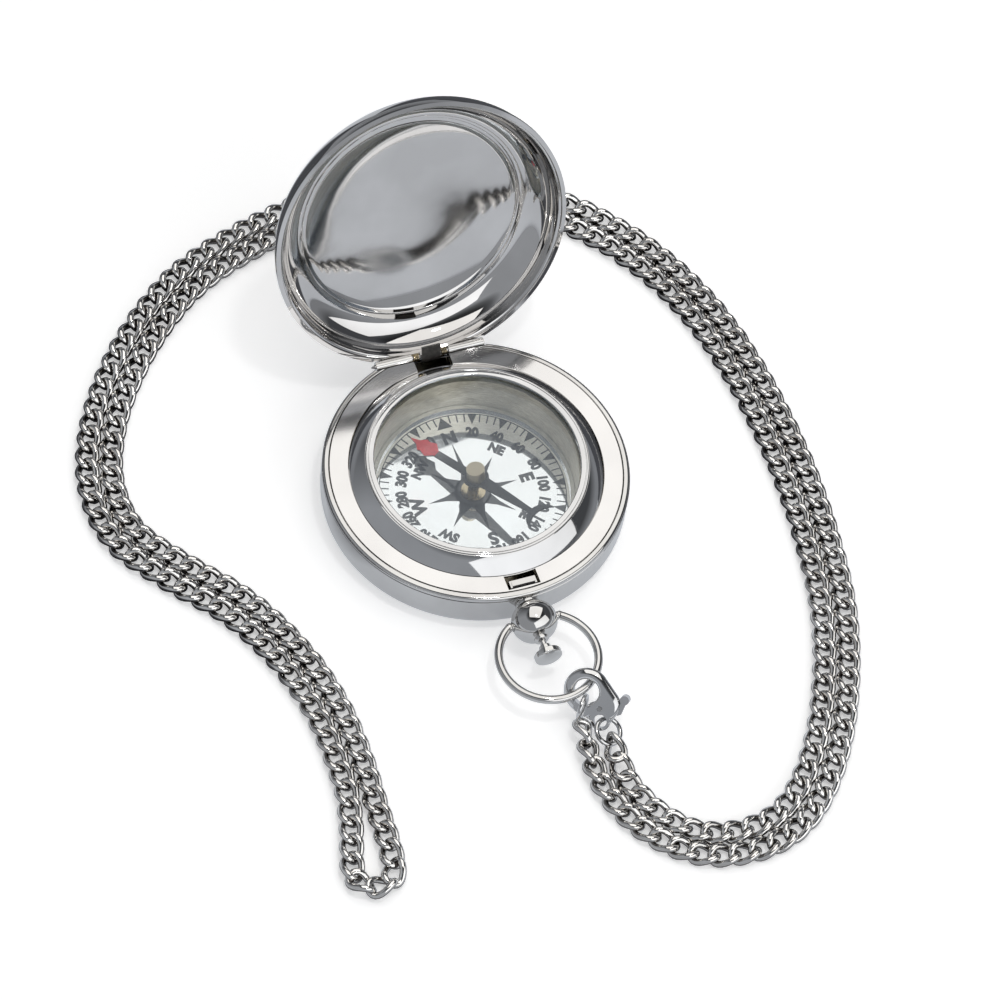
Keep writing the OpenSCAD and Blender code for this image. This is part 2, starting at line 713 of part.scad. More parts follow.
// Outline round the hook, the body and the foot, drawn in by an edge
function clasp_outline(edge) =
    let (h = [0, hook_up],
        rh = hook_r - edge,
        rc = claw_d / 2 - edge,
        rf = clasp_foot_d / 2 - edge,
        low = tangent_angle(foot_at, rf, claw_at, rc),
        side = tangent_angle(claw_at, rc, h, rh),
        left = tangent_angle(h, rh, foot_at, rf) + 360)
    concat(arc(foot_at[0], foot_at[1], rf, rf, left - 360, low, 8),
        arc(claw_at[0], claw_at[1], rc, rc, low, side, 12),
        arc(h[0], h[1], rh, rh, side, left, 32));

// Slice from the lever's rivet out, between two angles
module lever_slice(from, to, r) {
    translate(lever_at) polygon(concat([[0, 0]], arc(0, 0, r, r, from, to, 8)));
}

// The gate's place in the outline, wider by a gap where it is cut out of the body
module gate_outline(edge, thin, gap) {
    intersection() {
        difference() {
            polygon(clasp_outline(edge - gap));
            translate([0, hook_up]) circle(r = hole_r + thin - gap);
            translate(lever_at) circle(r = gate_in - gap);
        }
        translate(lever_at) circle(r = gate_out + gap);
        lever_slice(gate_from, gate_to + (gap > 0 ? gate_cut_turn : 0), 2 * gate_out);
    }
}

module clasp_layer(edge) {
    difference() {
        polygon(clasp_outline(edge));
        translate([0, hook_up]) circle(r = hole_r + edge);
        gate_outline(edge, 0, lever_gap);
    }
}

// Clasp body: hook and body of one thickness with stepped edges, a slot for the lever, and a thin eye
module clasp_body() {
    slot = lever_t / 2 + lever_gap;
    eye_r = eye_hole_d / 2 + eye_rim;
    color("silver") at_clasp() difference() {
        union() {
            difference() {
                union() {
                    for (step = [[1, 0.42], [0.8, 0.18], [0.55, 0]])
                        translate([0, 0, -step[0] * clasp_t / 2]) linear_extrude(step[0] * clasp_t)
                            clasp_layer(step[1]);
                }
                for (side = side_names) translate([0, 0, side > 0 ? eye_t / 2 : -eye_t / 2 - clasp_t])
                    cylinder(h = clasp_t, r = eye_r + 0.2);
            }
            translate([0, 0, -eye_t / 2]) cylinder(h = eye_t, r = eye_r);
        }
        translate([0, 0, -clasp_t]) cylinder(h = 2 * clasp_t, d = eye_hole_d);
        translate([0, 0, -slot]) linear_extrude(2 * slot) {
            translate(lever_at) circle(r = 1.2);
            lever_slice(gate_from - gate_swing - 4, gate_to + 4, gate_in + 2 * lever_gap);
            lever_slice(slot_from, slot_to, 2 * gate_out);
        }
        translate([lever_at[0], lever_at[1], -clasp_t])
            cylinder(h = 2 * clasp_t, d = rivet_d + 2 * seat_gap);
    }
}

// Lever: the gate that closes the hook, its tongue in the slot, and the thumb nub outside the body
module clasp_lever() {
    color("silver") at_clasp() difference() {
        union() {
            translate([0, 0, -gate_t / 2]) linear_extrude(gate_t) {
                gate_outline(0.1, gate_thin, 0);
                translate(nub_at) circle(d = nub_d, $fn = 32);
            }
            translate([0, 0, -lever_t / 2]) linear_extrude(lever_t) {
                translate(lever_at) circle(r = 1.1);
                lever_slice(gate_from + 14, gate_to - 6, gate_in + 0.5);
                lever_slice(arm_from, arm_to, norm(arm_knee - lever_at));
                lever_arm(arm_knee, nub_at, 0.8);
            }
        }
        translate([lever_at[0], lever_at[1], -clasp_t])
            cylinder(h = 2 * clasp_t, d = rivet_d + 2 * rivet_clear);
    }
}

// A straight bar with round ends
module lever_arm(a, b, w) {
    way = unit(b - a);
    across = [-way[1], way[0]] * w / 2;
    polygon([a + across, a - across, b - across, b + across]);
    translate(a) circle(d = w, $fn = 32);
}

module clasp_pin() {
    long = clasp_t + 0.1;
    color("gray") at_clasp() translate([lever_at[0], lever_at[1], -long / 2])
        cylinder(h = long, d = rivet_d);
}

// Jump ring through the clasp's eye
module jump_ring() {
    color("silver") at_clasp() rotate([0, 0, jump_swing]) rotate([0, jump_turn, 0])
        translate([0, -jump_d / 2, 0]) ring_solid(jump_d, jump_wire);
}

// Ring at the chain's other end, through the hook and round its gate
module end_ring() {
    color("silver") at_clasp() translate([0, hook_up, 0]) rotate([0, 0, end_ring_angle])
        translate([end_ring_in + end_ring_d / 2, 0, 0]) rotate([90, 0, 0])
            ring_solid(end_ring_d, end_ring_wire);
}

// Chain: both strands and the fold, as one flat swept solid
module chain() {
    color("darkgray") swept(chain_path, chain_section);
}

case_body();
ring_plate();
bezel();
glass();
dial_cup();
dial_ring();
dial();
pivot_post();
needle();
needle_cap();
lid();
lid_spring();
hinge_pin();
spring_coil_left();
spring_coil_right();
latch();
push_button();
bow();
clasp_body();
clasp_lever();
clasp_pin();
jump_ring();
end_ring();
chain();
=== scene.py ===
"""Compass pendant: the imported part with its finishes, dial print, curb chain and fine metal forms."""

import json
import math

import bmesh
import bpy
import numpy as np
from mathutils import Matrix, Vector

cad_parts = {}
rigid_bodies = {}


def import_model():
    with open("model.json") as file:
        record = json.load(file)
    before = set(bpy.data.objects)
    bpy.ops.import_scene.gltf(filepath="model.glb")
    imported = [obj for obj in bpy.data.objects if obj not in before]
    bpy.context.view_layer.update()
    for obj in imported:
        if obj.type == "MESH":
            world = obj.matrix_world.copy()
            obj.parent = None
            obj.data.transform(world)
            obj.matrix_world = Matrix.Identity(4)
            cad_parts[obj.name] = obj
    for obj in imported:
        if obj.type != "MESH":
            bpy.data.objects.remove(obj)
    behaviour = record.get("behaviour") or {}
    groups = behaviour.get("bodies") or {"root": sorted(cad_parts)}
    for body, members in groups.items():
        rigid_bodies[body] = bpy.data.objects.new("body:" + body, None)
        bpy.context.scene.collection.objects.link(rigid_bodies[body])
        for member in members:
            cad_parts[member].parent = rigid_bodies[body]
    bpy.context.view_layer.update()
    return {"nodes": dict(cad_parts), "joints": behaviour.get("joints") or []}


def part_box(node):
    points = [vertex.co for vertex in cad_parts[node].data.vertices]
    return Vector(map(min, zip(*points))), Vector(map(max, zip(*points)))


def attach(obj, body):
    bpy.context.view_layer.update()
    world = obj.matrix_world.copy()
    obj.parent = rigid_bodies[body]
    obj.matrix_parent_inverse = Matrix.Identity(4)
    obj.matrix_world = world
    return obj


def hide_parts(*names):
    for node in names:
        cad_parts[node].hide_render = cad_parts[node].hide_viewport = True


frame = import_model()
nodes = frame["nodes"]
joints = {joint["name"]: joint for joint in frame["joints"]}
MM = 0.001

# Places and sizes read from the frame
CASE_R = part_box("case_body")[1].x
BALL_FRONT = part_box("case_body")[0].y
RING_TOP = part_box("ring_plate")[1].z
BEZEL_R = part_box("bezel")[1].x
BEZEL_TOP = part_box("bezel")[1].z
GLASS_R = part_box("glass")[1].x
DIAL_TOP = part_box("dial")[1].z
PIN_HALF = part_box("hinge_pin")[1].x
HINGE = Vector(joints["lid_hinge"]["pos_m"])
OPEN_ANGLE = math.radians(joints["lid_hinge"]["range_deg"][1])


# Camera

AIM = Vector((0, 0, RING_TOP))
AIM_PIXEL = (476.565, 468.088)
PICTURE = 1000
CAMERA_ELEVATION = math.radians(56.497)
CAMERA_AZIMUTH = math.radians(-27.0)
CAMERA_ROLL = math.radians(-9.084)
CAMERA_DISTANCE = 0.726823
SENSOR = 36
LENS = 162


def add_camera():
    ce, se = math.cos(CAMERA_ELEVATION), math.sin(CAMERA_ELEVATION)
    ca, sa = math.cos(CAMERA_AZIMUTH), math.sin(CAMERA_AZIMUTH)
    back = Vector((sa * ce, -ca * ce, se))
    level = Vector((ca, sa, 0))
    up = back.cross(level)
    right = level * math.cos(CAMERA_ROLL) - up * math.sin(CAMERA_ROLL)
    top = level * math.sin(CAMERA_ROLL) + up * math.cos(CAMERA_ROLL)
    metres_a_pixel = CAMERA_DISTANCE * SENSOR / LENS / PICTURE
    aside = (AIM_PIXEL[0] - PICTURE / 2) * metres_a_pixel
    above = (PICTURE / 2 - AIM_PIXEL[1]) * metres_a_pixel
    place = AIM + back * CAMERA_DISTANCE - right * aside - top * above
    data = bpy.data.cameras.new("camera")
    data.lens = LENS
    data.sensor_width = SENSOR
    data.clip_start = 0.01
    data.clip_end = 20
    camera = bpy.data.objects.new("camera", data)
    turn = Matrix((right, top, back)).transposed().to_4x4()
    camera.matrix_world = Matrix.Translation(place) @ turn
    bpy.context.scene.collection.objects.link(camera)
    bpy.context.scene.camera = camera


# Materials

TINT_SCALE = 90
MARK_SCALE = 9000
WAVE_SCALE = 260
WAVE_DEPTH = 0.02 * MM
GRAIN_RINGS = 9000
GRAIN_AROUND = 14
GLASS_MIRROR = 0.05
GLASS_MORE = 0.94
RED_DARK = (0.55, 0.015, 0.02)
RED_LIGHT = (0.72, 0.03, 0.035)
NEEDLE_BLACK = (0.02, 0.02, 0.022)


def new_material(name, color, metallic, roughness, **sockets):
    """A material with its Principled shader, and its node tree."""
    material = bpy.data.materials.new(name)
    material.use_nodes = True
    tree = material.node_tree
    shader = tree.nodes["Principled BSDF"]
    shader.inputs["Base Color"].default_value = (*color, 1)
    shader.inputs["Metallic"].default_value = metallic
    shader.inputs["Roughness"].default_value = roughness
    for socket, value in sockets.items():
        shader.inputs[socket.replace("_", " ")].default_value = value
    return material, tree, shader


def add_node(tree, kind, **values):
    node = tree.nodes.new(kind)
    for key, value in values.items():
        if key in node.inputs:
            node.inputs[key].default_value = value
        else:
            setattr(node, key, value)
    return node


def put(tree, socket, value):
    """Links a socket to another one, or gives it a plain value."""
    if isinstance(value, bpy.types.NodeSocket):
        tree.links.new(value, socket)
    else:
        socket.default_value = value


def maths(tree, operation, *values):
    """The outcome of an operation on sockets or plain numbers."""
    node = add_node(tree, "ShaderNodeMath", operation=operation)
    for socket, value in zip(node.inputs, values):
        put(tree, socket, value)
    return node.outputs[0]


def mixed(tree, factor, a, b, kind="MIX"):
    """Two colours mixed by a factor, each of the three a socket or a plain value."""
    node = add_node(tree, "ShaderNodeMix", data_type="RGBA", blend_type=kind)
    for socket, value in (("Factor", factor), ("A", a), ("B", b)):
        put(tree, node.inputs[socket], value)
    return node.outputs["Result"]


def coordinates(tree, space):
    """The X, Y and Z of a texture space."""
    place = add_node(tree, "ShaderNodeTexCoord")
    split = add_node(tree, "ShaderNodeSeparateXYZ")
    tree.links.new(place.outputs[space], split.inputs["Vector"])
    return split.outputs


def share_along(tree, space, way):
    """How far a texture space's vector reaches along a direction."""
    place = add_node(tree, "ShaderNodeTexCoord")
    share = add_node(tree, "ShaderNodeVectorMath", operation="DOT_PRODUCT")
    share.inputs[1].default_value = way
    tree.links.new(place.outputs[space], share.inputs[0])
    return share.outputs["Value"]


def noise(tree, scale, detail=3):
    """A noise over the row frame's metres."""
    place = add_node(tree, "ShaderNodeTexCoord")
    texture = add_node(tree, "ShaderNodeTexNoise", Scale=scale, Detail=detail)
    tree.links.new(place.outputs["Object"], texture.inputs["Vector"])
    return texture.outputs["Fac"]


def ramp(tree, value, low, high, start=0.35, end=0.65):
    """A colour that runs from low to high as the value goes from start to end."""
    node = add_node(tree, "ShaderNodeValToRGB")
    node.color_ramp.elements[0].position = start
    node.color_ramp.elements[1].position = end
    node.color_ramp.elements[0].color = (*low, 1)
    node.color_ramp.elements[1].color = (*high, 1)
    tree.links.new(value, node.inputs["Fac"])
    return node.outputs["Color"]


def spread(tree, value, low, high, start=0.3, end=0.7):
    """A number that runs from low to high as the value goes from start to end."""
    node = add_node(tree, "ShaderNodeMapRange")
    for socket, number in (("From Min", start), ("From Max", end), ("To Min", low), ("To Max", high)):
        node.inputs[socket].default_value = number
    tree.links.new(value, node.inputs["Value"])
    return node.outputs["Result"]


def bump(tree, shader, height, strength, depth):
    node = add_node(tree, "ShaderNodeBump", Strength=strength, Distance=depth)
    tree.links.new(height, node.inputs["Height"])
    tree.links.new(node.outputs["Normal"], shader.inputs["Normal"])


def metal(name, dark, light, roughness, waviness=0.15, metallic=1.0):
    """Plated metal: slow change of tint, fine polishing marks and a slight waviness."""
    material, tree, shader = new_material(name, light, metallic, roughness)
    tree.links.new(ramp(tree, noise(tree, TINT_SCALE), dark, light), shader.inputs["Base Color"])
    marks = noise(tree, MARK_SCALE, detail=2)
    tree.links.new(spread(tree, marks, roughness * 0.75, roughness * 1.3), shader.inputs["Roughness"])
    bump(tree, shader, noise(tree, WAVE_SCALE, detail=1), waviness, WAVE_DEPTH)
    return material


def tarnish(material, color, low, high):
    """Painted shade: a darker tint on the sides and undersides, where the normal turns away from upward,
    standing in for the darker mirrorings there.
    """
    tree = material.node_tree
    base = tree.nodes["Principled BSDF"].inputs["Base Color"]
    upright = spread(tree, coordinates(tree, "Normal")["Z"], 0, 1, low, high)
    tree.links.new(mixed(tree, upright, (*color, 1), base.links[0].from_socket), base)


def round_grain(tree):
    """A noise drawn out round the Z axis, as turning and brushing leave it."""
    at = coordinates(tree, "Object")
    turn = maths(tree, "ARCTAN2", at["Y"], at["X"])
    squares = maths(tree, "ADD", maths(tree, "POWER", at["X"], 2), maths(tree, "POWER", at["Y"], 2))
    radius = maths(tree, "SQRT", squares)
    join = add_node(tree, "ShaderNodeCombineXYZ")
    scaled = {"X": (turn, GRAIN_AROUND), "Y": (radius, GRAIN_RINGS), "Z": (at["Z"], GRAIN_RINGS)}
    for axis, (value, scale) in scaled.items():
        tree.links.new(maths(tree, "MULTIPLY", value, scale), join.inputs[axis])
    texture = add_node(tree, "ShaderNodeTexNoise", Scale=1, Detail=4, Roughness=0.65)
    tree.links.new(join.outputs["Vector"], texture.inputs["Vector"])
    return texture.outputs["Fac"]


def brushed(name, dark, light, roughness, depth):
    """Metal brushed round the Z axis."""
    material, tree, shader = new_material(name, light, 1, roughness)
    lines = round_grain(tree)
    tree.links.new(ramp(tree, lines, dark, light, 0.3, 0.7), shader.inputs["Base Color"])
    tree.links.new(spread(tree, lines, roughness * 0.8, roughness * 1.2), shader.inputs["Roughness"])
    bump(tree, shader, lines, 0.5, depth)
    return material


def enamel(name, dark, light, roughness, coat=0.0):
    """Paint, print or enamel with a faint mottle."""
    material, tree, shader = new_material(name, light, 0, roughness, Coat_Weight=coat, Coat_Roughness=0.03)
    tint = ramp(tree, noise(tree, 1500), dark, light)
    tree.links.new(tint, shader.inputs["Base Color"])
    bump(tree, shader, noise(tree, 4000, detail=1), 0.1, 0.004 * MM)
    return material


NEEDLE_TURN = math.radians(31)
NEEDLE_DIP = math.radians(10)
ARROW_START = 8.3 * MM
PIN_ABOVE_JOINT = 1.2 * MM
PIN_TIP = joints["needle_turn"]["pos_m"][2] + PIN_ABOVE_JOINT


def needle_material():
    """Black paint, red over the top of the arrow's head."""
    material, tree, shader = new_material("needle_paint", NEEDLE_BLACK, 0, 0.35)
    level = Vector((-math.sin(NEEDLE_TURN), math.cos(NEEDLE_TURN), 0))
    ahead = level * math.cos(NEEDLE_DIP) - Vector((0, 0, math.sin(NEEDLE_DIP)))
    above = level * math.sin(NEEDLE_DIP) + Vector((0, 0, math.cos(NEEDLE_DIP)))
    arrow_from = ARROW_START - PIN_TIP * math.sin(NEEDLE_DIP)
    in_arrow = maths(tree, "GREATER_THAN", share_along(tree, "Object", ahead), arrow_from)
    on_top = maths(tree, "GREATER_THAN", share_along(tree, "Normal", above), 0.5)
    red = ramp(tree, noise(tree, 2500), RED_DARK, RED_LIGHT)
    paint = mixed(tree, maths(tree, "MULTIPLY", in_arrow, on_top), (*NEEDLE_BLACK, 1), red)
    tree.links.new(paint, shader.inputs["Base Color"])
    return material


def glass_material():
    """Clear crystal: it lets the light through and mirrors what lies across it, alike from both sides."""
    material = bpy.data.materials.new("crystal")
    material.use_nodes = True
    tree = material.node_tree
    tree.nodes.remove(tree.nodes["Principled BSDF"])
    clear = add_node(tree, "ShaderNodeBsdfTransparent", Color=(0.97, 0.98, 0.98, 1))
    gloss = add_node(tree, "ShaderNodeBsdfGlossy", Color=(0.82, 0.9, 1.0, 1), Roughness=0.0)
    facing = add_node(tree, "ShaderNodeLayerWeight", Blend=0.5)
    steep = maths(tree, "POWER", facing.outputs["Facing"], 5)
    mirror = maths(tree, "MULTIPLY_ADD", steep, GLASS_MORE, GLASS_MIRROR)
    mix = add_node(tree, "ShaderNodeMixShader")
    for source, target in ((mirror, "Fac"), (clear.outputs["BSDF"], 1), (gloss.outputs["BSDF"], 2)):
        tree.links.new(source, mix.inputs[target])
    tree.links.new(mix.outputs["Shader"], tree.nodes["Material Output"].inputs["Surface"])
    return material


nickel = metal("polished_nickel", (0.60, 0.59, 0.58), (0.68, 0.675, 0.66), 0.06)
lid_nickel = metal("lid_nickel", (0.62, 0.61, 0.60), (0.70, 0.69, 0.68), 0.035, waviness=0.1)
ring_nickel = metal("ring_nickel", (0.70, 0.69, 0.68), (0.76, 0.75, 0.74), 0.08)
bezel_nickel = metal("bezel_nickel", (0.60, 0.60, 0.60), (0.68, 0.68, 0.68), 0.05)
chain_nickel = metal("chain_nickel", (0.74, 0.72, 0.695), (0.92, 0.91, 0.89), 0.06)
# Painted shade: the chain's wire sides and undersides are drawn darker than their tops.
tarnish(chain_nickel, (0.12, 0.112, 0.105), 0.12, 0.68)
clasp_nickel = metal("clasp_nickel", (0.62, 0.62, 0.62), (0.70, 0.70, 0.70), 0.07)
pin_steel = metal("pin_steel", (0.42, 0.41, 0.4), (0.55, 0.54, 0.53), 0.2)
brass = metal("old_brass", (0.42, 0.35, 0.23), (0.60, 0.51, 0.36), 0.2)
cap_brass = metal("cap_brass", (0.50, 0.43, 0.31), (0.68, 0.60, 0.46), 0.4)
cup_metal = brushed("brushed_cup", (0.50, 0.445, 0.335), (0.97, 0.91, 0.78), 0.4, 0.02 * MM)
dial_ring_metal = brushed("dial_ring_nickel", (0.55, 0.55, 0.54), (0.7, 0.7, 0.69), 0.18, 0.005 * MM)
silver_dial = metal("silver_dial", (0.92, 0.925, 0.93), (0.96, 0.965, 0.97), 0.04, waviness=0.06,
                    metallic=0.8)
black_print = enamel("black_print", (0.012, 0.012, 0.016), (0.03, 0.03, 0.035), 0.3, coat=1.0)
black_steel = enamel("black_steel", (0.012, 0.011, 0.01), (0.04, 0.036, 0.032), 0.3)

finishes = {
    "case_body": nickel, "ring_plate": ring_nickel, "bezel": bezel_nickel, "glass": glass_material(),
    "dial_cup": cup_metal, "dial_ring": dial_ring_metal, "dial": silver_dial, "pivot_post": brass,
    "needle": needle_material(), "needle_cap": cap_brass, "lid": lid_nickel, "lid_spring": black_steel,
    "hinge_pin": pin_steel, "spring_coil_left": brass, "spring_coil_right": brass, "latch": nickel,
    "push_button": nickel, "bow": nickel, "clasp_body": clasp_nickel, "clasp_lever": clasp_nickel,
    "clasp_pin": pin_steel, "jump_ring": clasp_nickel, "end_ring": clasp_nickel, "chain": chain_nickel}
for node_name, finish in finishes.items():
    for material_slot in nodes[node_name].material_slots:
        material_slot.material = finish


# Shapes

SMOOTH_UNDER = math.radians(32)


def add_piece(name, verts, faces, material, body, replaced=(), weld=0.0):
    """A new piece from points and faces, riding on a body."""
    add_mesh(name, solid_mesh(name, verts, faces, weld), material, body, replaced)


def finish_mesh(mesh, weld=0.0):
    work = bmesh.new()
    work.from_mesh(mesh)
    if weld:
        bmesh.ops.remove_doubles(work, verts=work.verts, dist=weld)
        bmesh.ops.dissolve_degenerate(work, dist=weld, edges=work.edges)
    bmesh.ops.recalc_face_normals(work, faces=work.faces)
    work.to_mesh(mesh)
    work.free()
    mesh.shade_smooth()
    mesh.set_sharp_from_angle(angle=SMOOTH_UNDER)
    mesh.update()


def add_mesh(name, mesh, material, body, replaced=()):
    piece = bpy.data.objects.new(name, mesh)
    mesh.materials.clear()
    mesh.materials.append(material)
    bpy.context.scene.collection.objects.link(piece)
    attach(piece, body)
    if replaced:
        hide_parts(*replaced)


def fillet(corners, steps=6):
    """A closed outline from corners (x, y, radius), its corners rounded to their radii."""
    points = []
    for i, (x, y, radius) in enumerate(corners):
        here = Vector((x, y))
        if radius <= 0:
            points.append((x, y))
            continue
        to_last = (Vector(corners[i - 1][:2]) - here).normalized()
        to_next = (Vector(corners[(i + 1) % len(corners)][:2]) - here).normalized()
        half = to_last.angle(to_next) / 2
        reach = radius / math.tan(half)
        centre = here + (to_last + to_next).normalized() * (radius / math.sin(half))
        a = here + to_last * reach - centre
        b = here + to_next * reach - centre
        start = math.atan2(a.y, a.x)
        turn = (math.atan2(b.y, b.x) - start + math.pi) % (2 * math.pi) - math.pi
        for k in range(steps + 1):
            angle = start + turn * k / steps
            points.append((centre.x + radius * math.cos(angle), centre.y + radius * math.sin(angle)))
    return points


def revolved(profile, segments):
    """Points and faces of a closed profile (radius, height) turned round the Z axis."""
    count = len(profile)
    angles = [2 * math.pi * k / segments for k in range(segments)]
    verts = [(r * math.cos(a), r * math.sin(a), z) for a in angles for r, z in profile]
    faces = [(k * count + i, ((k + 1) % segments) * count + i,
              ((k + 1) % segments) * count + (i + 1) % count, k * count + (i + 1) % count)
             for k in range(segments) for i in range(count)]
    return verts, faces


def solid_mesh(name, verts, faces, weld=1e-7):
    mesh = bpy.data.meshes.new(name)
    mesh.from_pydata([tuple(v) for v in verts], [], [tuple(f) for f in faces])
    finish_mesh(mesh, weld)
    return mesh


def block_mesh(low, high):
    corners = [(x, y, z) for x in (low[0], high[0]) for y in (low[1], high[1]) for z in (low[2], high[2])]
    faces = [(0, 1, 3, 2), (4, 6, 7, 5), (0, 4, 5, 1), (2, 3, 7, 6), (0, 2, 6, 4), (1, 5, 7, 3)]
    return solid_mesh("block", corners, faces)


def rod_mesh(start, end, radius, segments=48):
    """A round rod between two points."""
    way = Vector(end) - Vector(start)
    profile = [(0, 0), (radius, 0), (radius, way.length), (0, way.length)]
    mesh = solid_mesh("rod", *revolved(profile, segments))
    mesh.transform(Matrix.Translation(Vector(start)) @ way.to_track_quat("Z", "Y").to_matrix().to_4x4())
    return mesh


def combine(base, parts, operation):
    """The base mesh with the others cut from it, joined to it or kept in common, one after another."""
    scene = bpy.context.scene.collection.objects
    body = bpy.data.objects.new("combined", base)
    scene.link(body)
    tools = []
    for part in parts:
        tool = bpy.data.objects.new("tool", part)
        scene.link(tool)
        tools.append(tool)
        step = body.modifiers.new("step", "BOOLEAN")
        step.operation = operation
        step.object = tool
        step.solver = "EXACT"
    depsgraph = bpy.context.evaluated_depsgraph_get()
    result = bpy.data.meshes.new_from_object(body.evaluated_get(depsgraph))
    for thing in [body, *tools]:
        bpy.data.objects.remove(thing)
    finish_mesh(result, 1e-7)
    return result


def sweep(path, radius, sides, closed):
    """Points and faces of a round wire along a path of points."""
    path = np.asarray(path, float)
    count = len(path)
    if closed:
        way = np.roll(path, -1, 0) - np.roll(path, 1, 0)
    else:
        way = np.gradient(path, axis=0)
    way /= np.linalg.norm(way, axis=1)[:, None]
    side = np.zeros_like(path)
    start = np.cross(way[0], (0.31, 0.17, 0.93))
    for i in range(count):
        start = start - way[i] * start.dot(way[i])
        start /= np.linalg.norm(start)
        side[i] = start
    other = np.cross(way, side)
    if closed:
        last = start - way[0] * start.dot(way[0])
        miss = math.atan2(last.dot(other[0]), last.dot(side[0]))
        fix = -miss * np.arange(count) / count
        side, other = (side * np.cos(fix)[:, None] + other * np.sin(fix)[:, None],
                       other * np.cos(fix)[:, None] - side * np.sin(fix)[:, None])
    angles = 2 * np.pi * np.arange(sides) / sides
    rings = (path[:, None, :] + radius * (np.cos(angles)[None, :, None] * side[:, None, :]
                                          + np.sin(angles)[None, :, None] * other[:, None, :]))
    verts = rings.reshape(-1, 3)
    faces = []
    for i in range(count if closed else count - 1):
        j = (i + 1) % count
        for k in range(sides):
            m = (k + 1) % sides
            faces.append((i * sides + k, i * sides + m, j * sides + m, j * sides + k))
    if not closed:
        faces.append(tuple(range(sides))[::-1])
        faces.append(tuple((count - 1) * sides + k for k in range(sides)))
    return verts, faces


def arc(cx, cy, rx, ry, start, end, steps):
    return [(cx + rx * math.cos(math.radians(start + (end - start) * i / steps)),
             cy + ry * math.sin(math.radians(start + (end - start) * i / steps))) for i in range(steps + 1)]


# Case, with its pendant and hinge barrels

CASE_WALL = 1.2 * MM
CASE_BACK = 1 * MM
FOOT_R = 18 * MM
EDGE_H = 3.5 * MM
EDGE_W = 2.8 * MM
FOOT_LIFT = 0.6 * MM
STEM_Z = 6.4 * MM
NECK_R = 1.3 * MM
BALL_D = 7.5 * MM
BALL_L = 6.6 * MM
BELLY_FROM = -43
BELLY_TO = 62
BOSS_L = 0.4 * MM
BOSS_R = 1.2 * MM
BALL_Y = BALL_FRONT + BALL_L / 2 + BOSS_L
BOW_HOLE_R = 0.8 * MM
SHAFT_HOLE_R = 0.61 * MM
BARREL_R = 0.75 * MM
BARREL_HOLE_R = 0.4 * MM
SIDE_GAP = 0.15 * MM
COIL_L = 1.2 * MM
MID_BARREL_L = 3.4 * MM
NOTCH_HALF = PIN_HALF + SIDE_GAP
NOTCH_Y = HINGE.y - BARREL_R - SIDE_GAP
NOTCH_LOW = RING_TOP - 2.4 * MM
SUPPORT_ROOT = 1.2 * MM
CUT_PAST = 1 * MM
ROUND_SEGMENTS = 192


def case_profile():
    bore = CASE_R - CASE_WALL
    outer = [(0, 0), (FOOT_R, 0), (CASE_R - EDGE_W, FOOT_LIFT)]
    outer += arc(CASE_R - EDGE_W, EDGE_H, EDGE_W, EDGE_H - FOOT_LIFT, -80, 0, 14)
    rim = fillet([
        (CASE_R, RING_TOP - 1.35 * MM, 0), (CASE_R, RING_TOP - 1.12 * MM, 0.05 * MM),
        (CASE_R - 0.14 * MM, RING_TOP - 1.04 * MM, 0), (CASE_R - 0.14 * MM, RING_TOP - 0.96 * MM, 0),
        (CASE_R, RING_TOP - 0.88 * MM, 0.05 * MM), (CASE_R, RING_TOP, 0.6 * MM),
        (bore + 0.13 * MM, RING_TOP, 0.12 * MM), (bore + 0.1 * MM, RING_TOP - 0.5 * MM, 0),
        (bore, RING_TOP - 0.55 * MM, 0), (bore, RING_TOP - 1 * MM, 0)], 8)
    floor = arc(bore - EDGE_W + CASE_WALL, EDGE_H, EDGE_W - CASE_WALL, EDGE_H - FOOT_LIFT - CASE_BACK,
                0, -90, 8)
    return outer + rim + floor + [(FOOT_R, CASE_BACK), (0, CASE_BACK)]


def ball_mesh():
    """The pendant ball on its neck, with the ring flange at the case, turned about the stem."""
    reach = BALL_L / 2
    belly = arc(BALL_D / 2 - reach, 0, reach, reach, BELLY_FROM, BELLY_TO, 24)
    case_side = BALL_Y + CASE_R - 0.4 * MM
    profile = [(0, BOSS_L + reach), (BOSS_R - 0.1 * MM, BOSS_L + reach), (BOSS_R, BOSS_L + reach - 0.1 * MM),
               (BOSS_R, reach * 0.97)]
    profile += [(r, z) for r, z in reversed(belly) if r > BOSS_R]
    back = belly[0][1]
    ring = fillet([
        (NECK_R + 0.25 * MM, back - 0.02 * MM, 0), (NECK_R + 0.25 * MM, back - 0.12 * MM, 0),
        (NECK_R + 0.6 * MM, back - 0.2 * MM, 0.06 * MM), (NECK_R + 0.6 * MM, back - 0.42 * MM, 0.08 * MM),
        (NECK_R + 0.3 * MM, back - 0.5 * MM, 0), (NECK_R + 0.3 * MM, back - 0.6 * MM, 0),
        (NECK_R + 0.75 * MM, back - 0.7 * MM, 0.08 * MM), (NECK_R + 0.75 * MM, back - 1.1 * MM, 0.1 * MM),
        (NECK_R + 0.4 * MM, back - 1.25 * MM, 0)], 4)
    profile += ring + [(NECK_R + 0.4 * MM, case_side - CUT_PAST), (0, case_side - CUT_PAST)]
    mesh = solid_mesh("ball", *revolved(profile, 96))
    mesh.transform(Matrix.Translation((0, BALL_Y, STEM_Z)) @ Matrix.Rotation(math.pi / 2, 4, "X"))
    return mesh


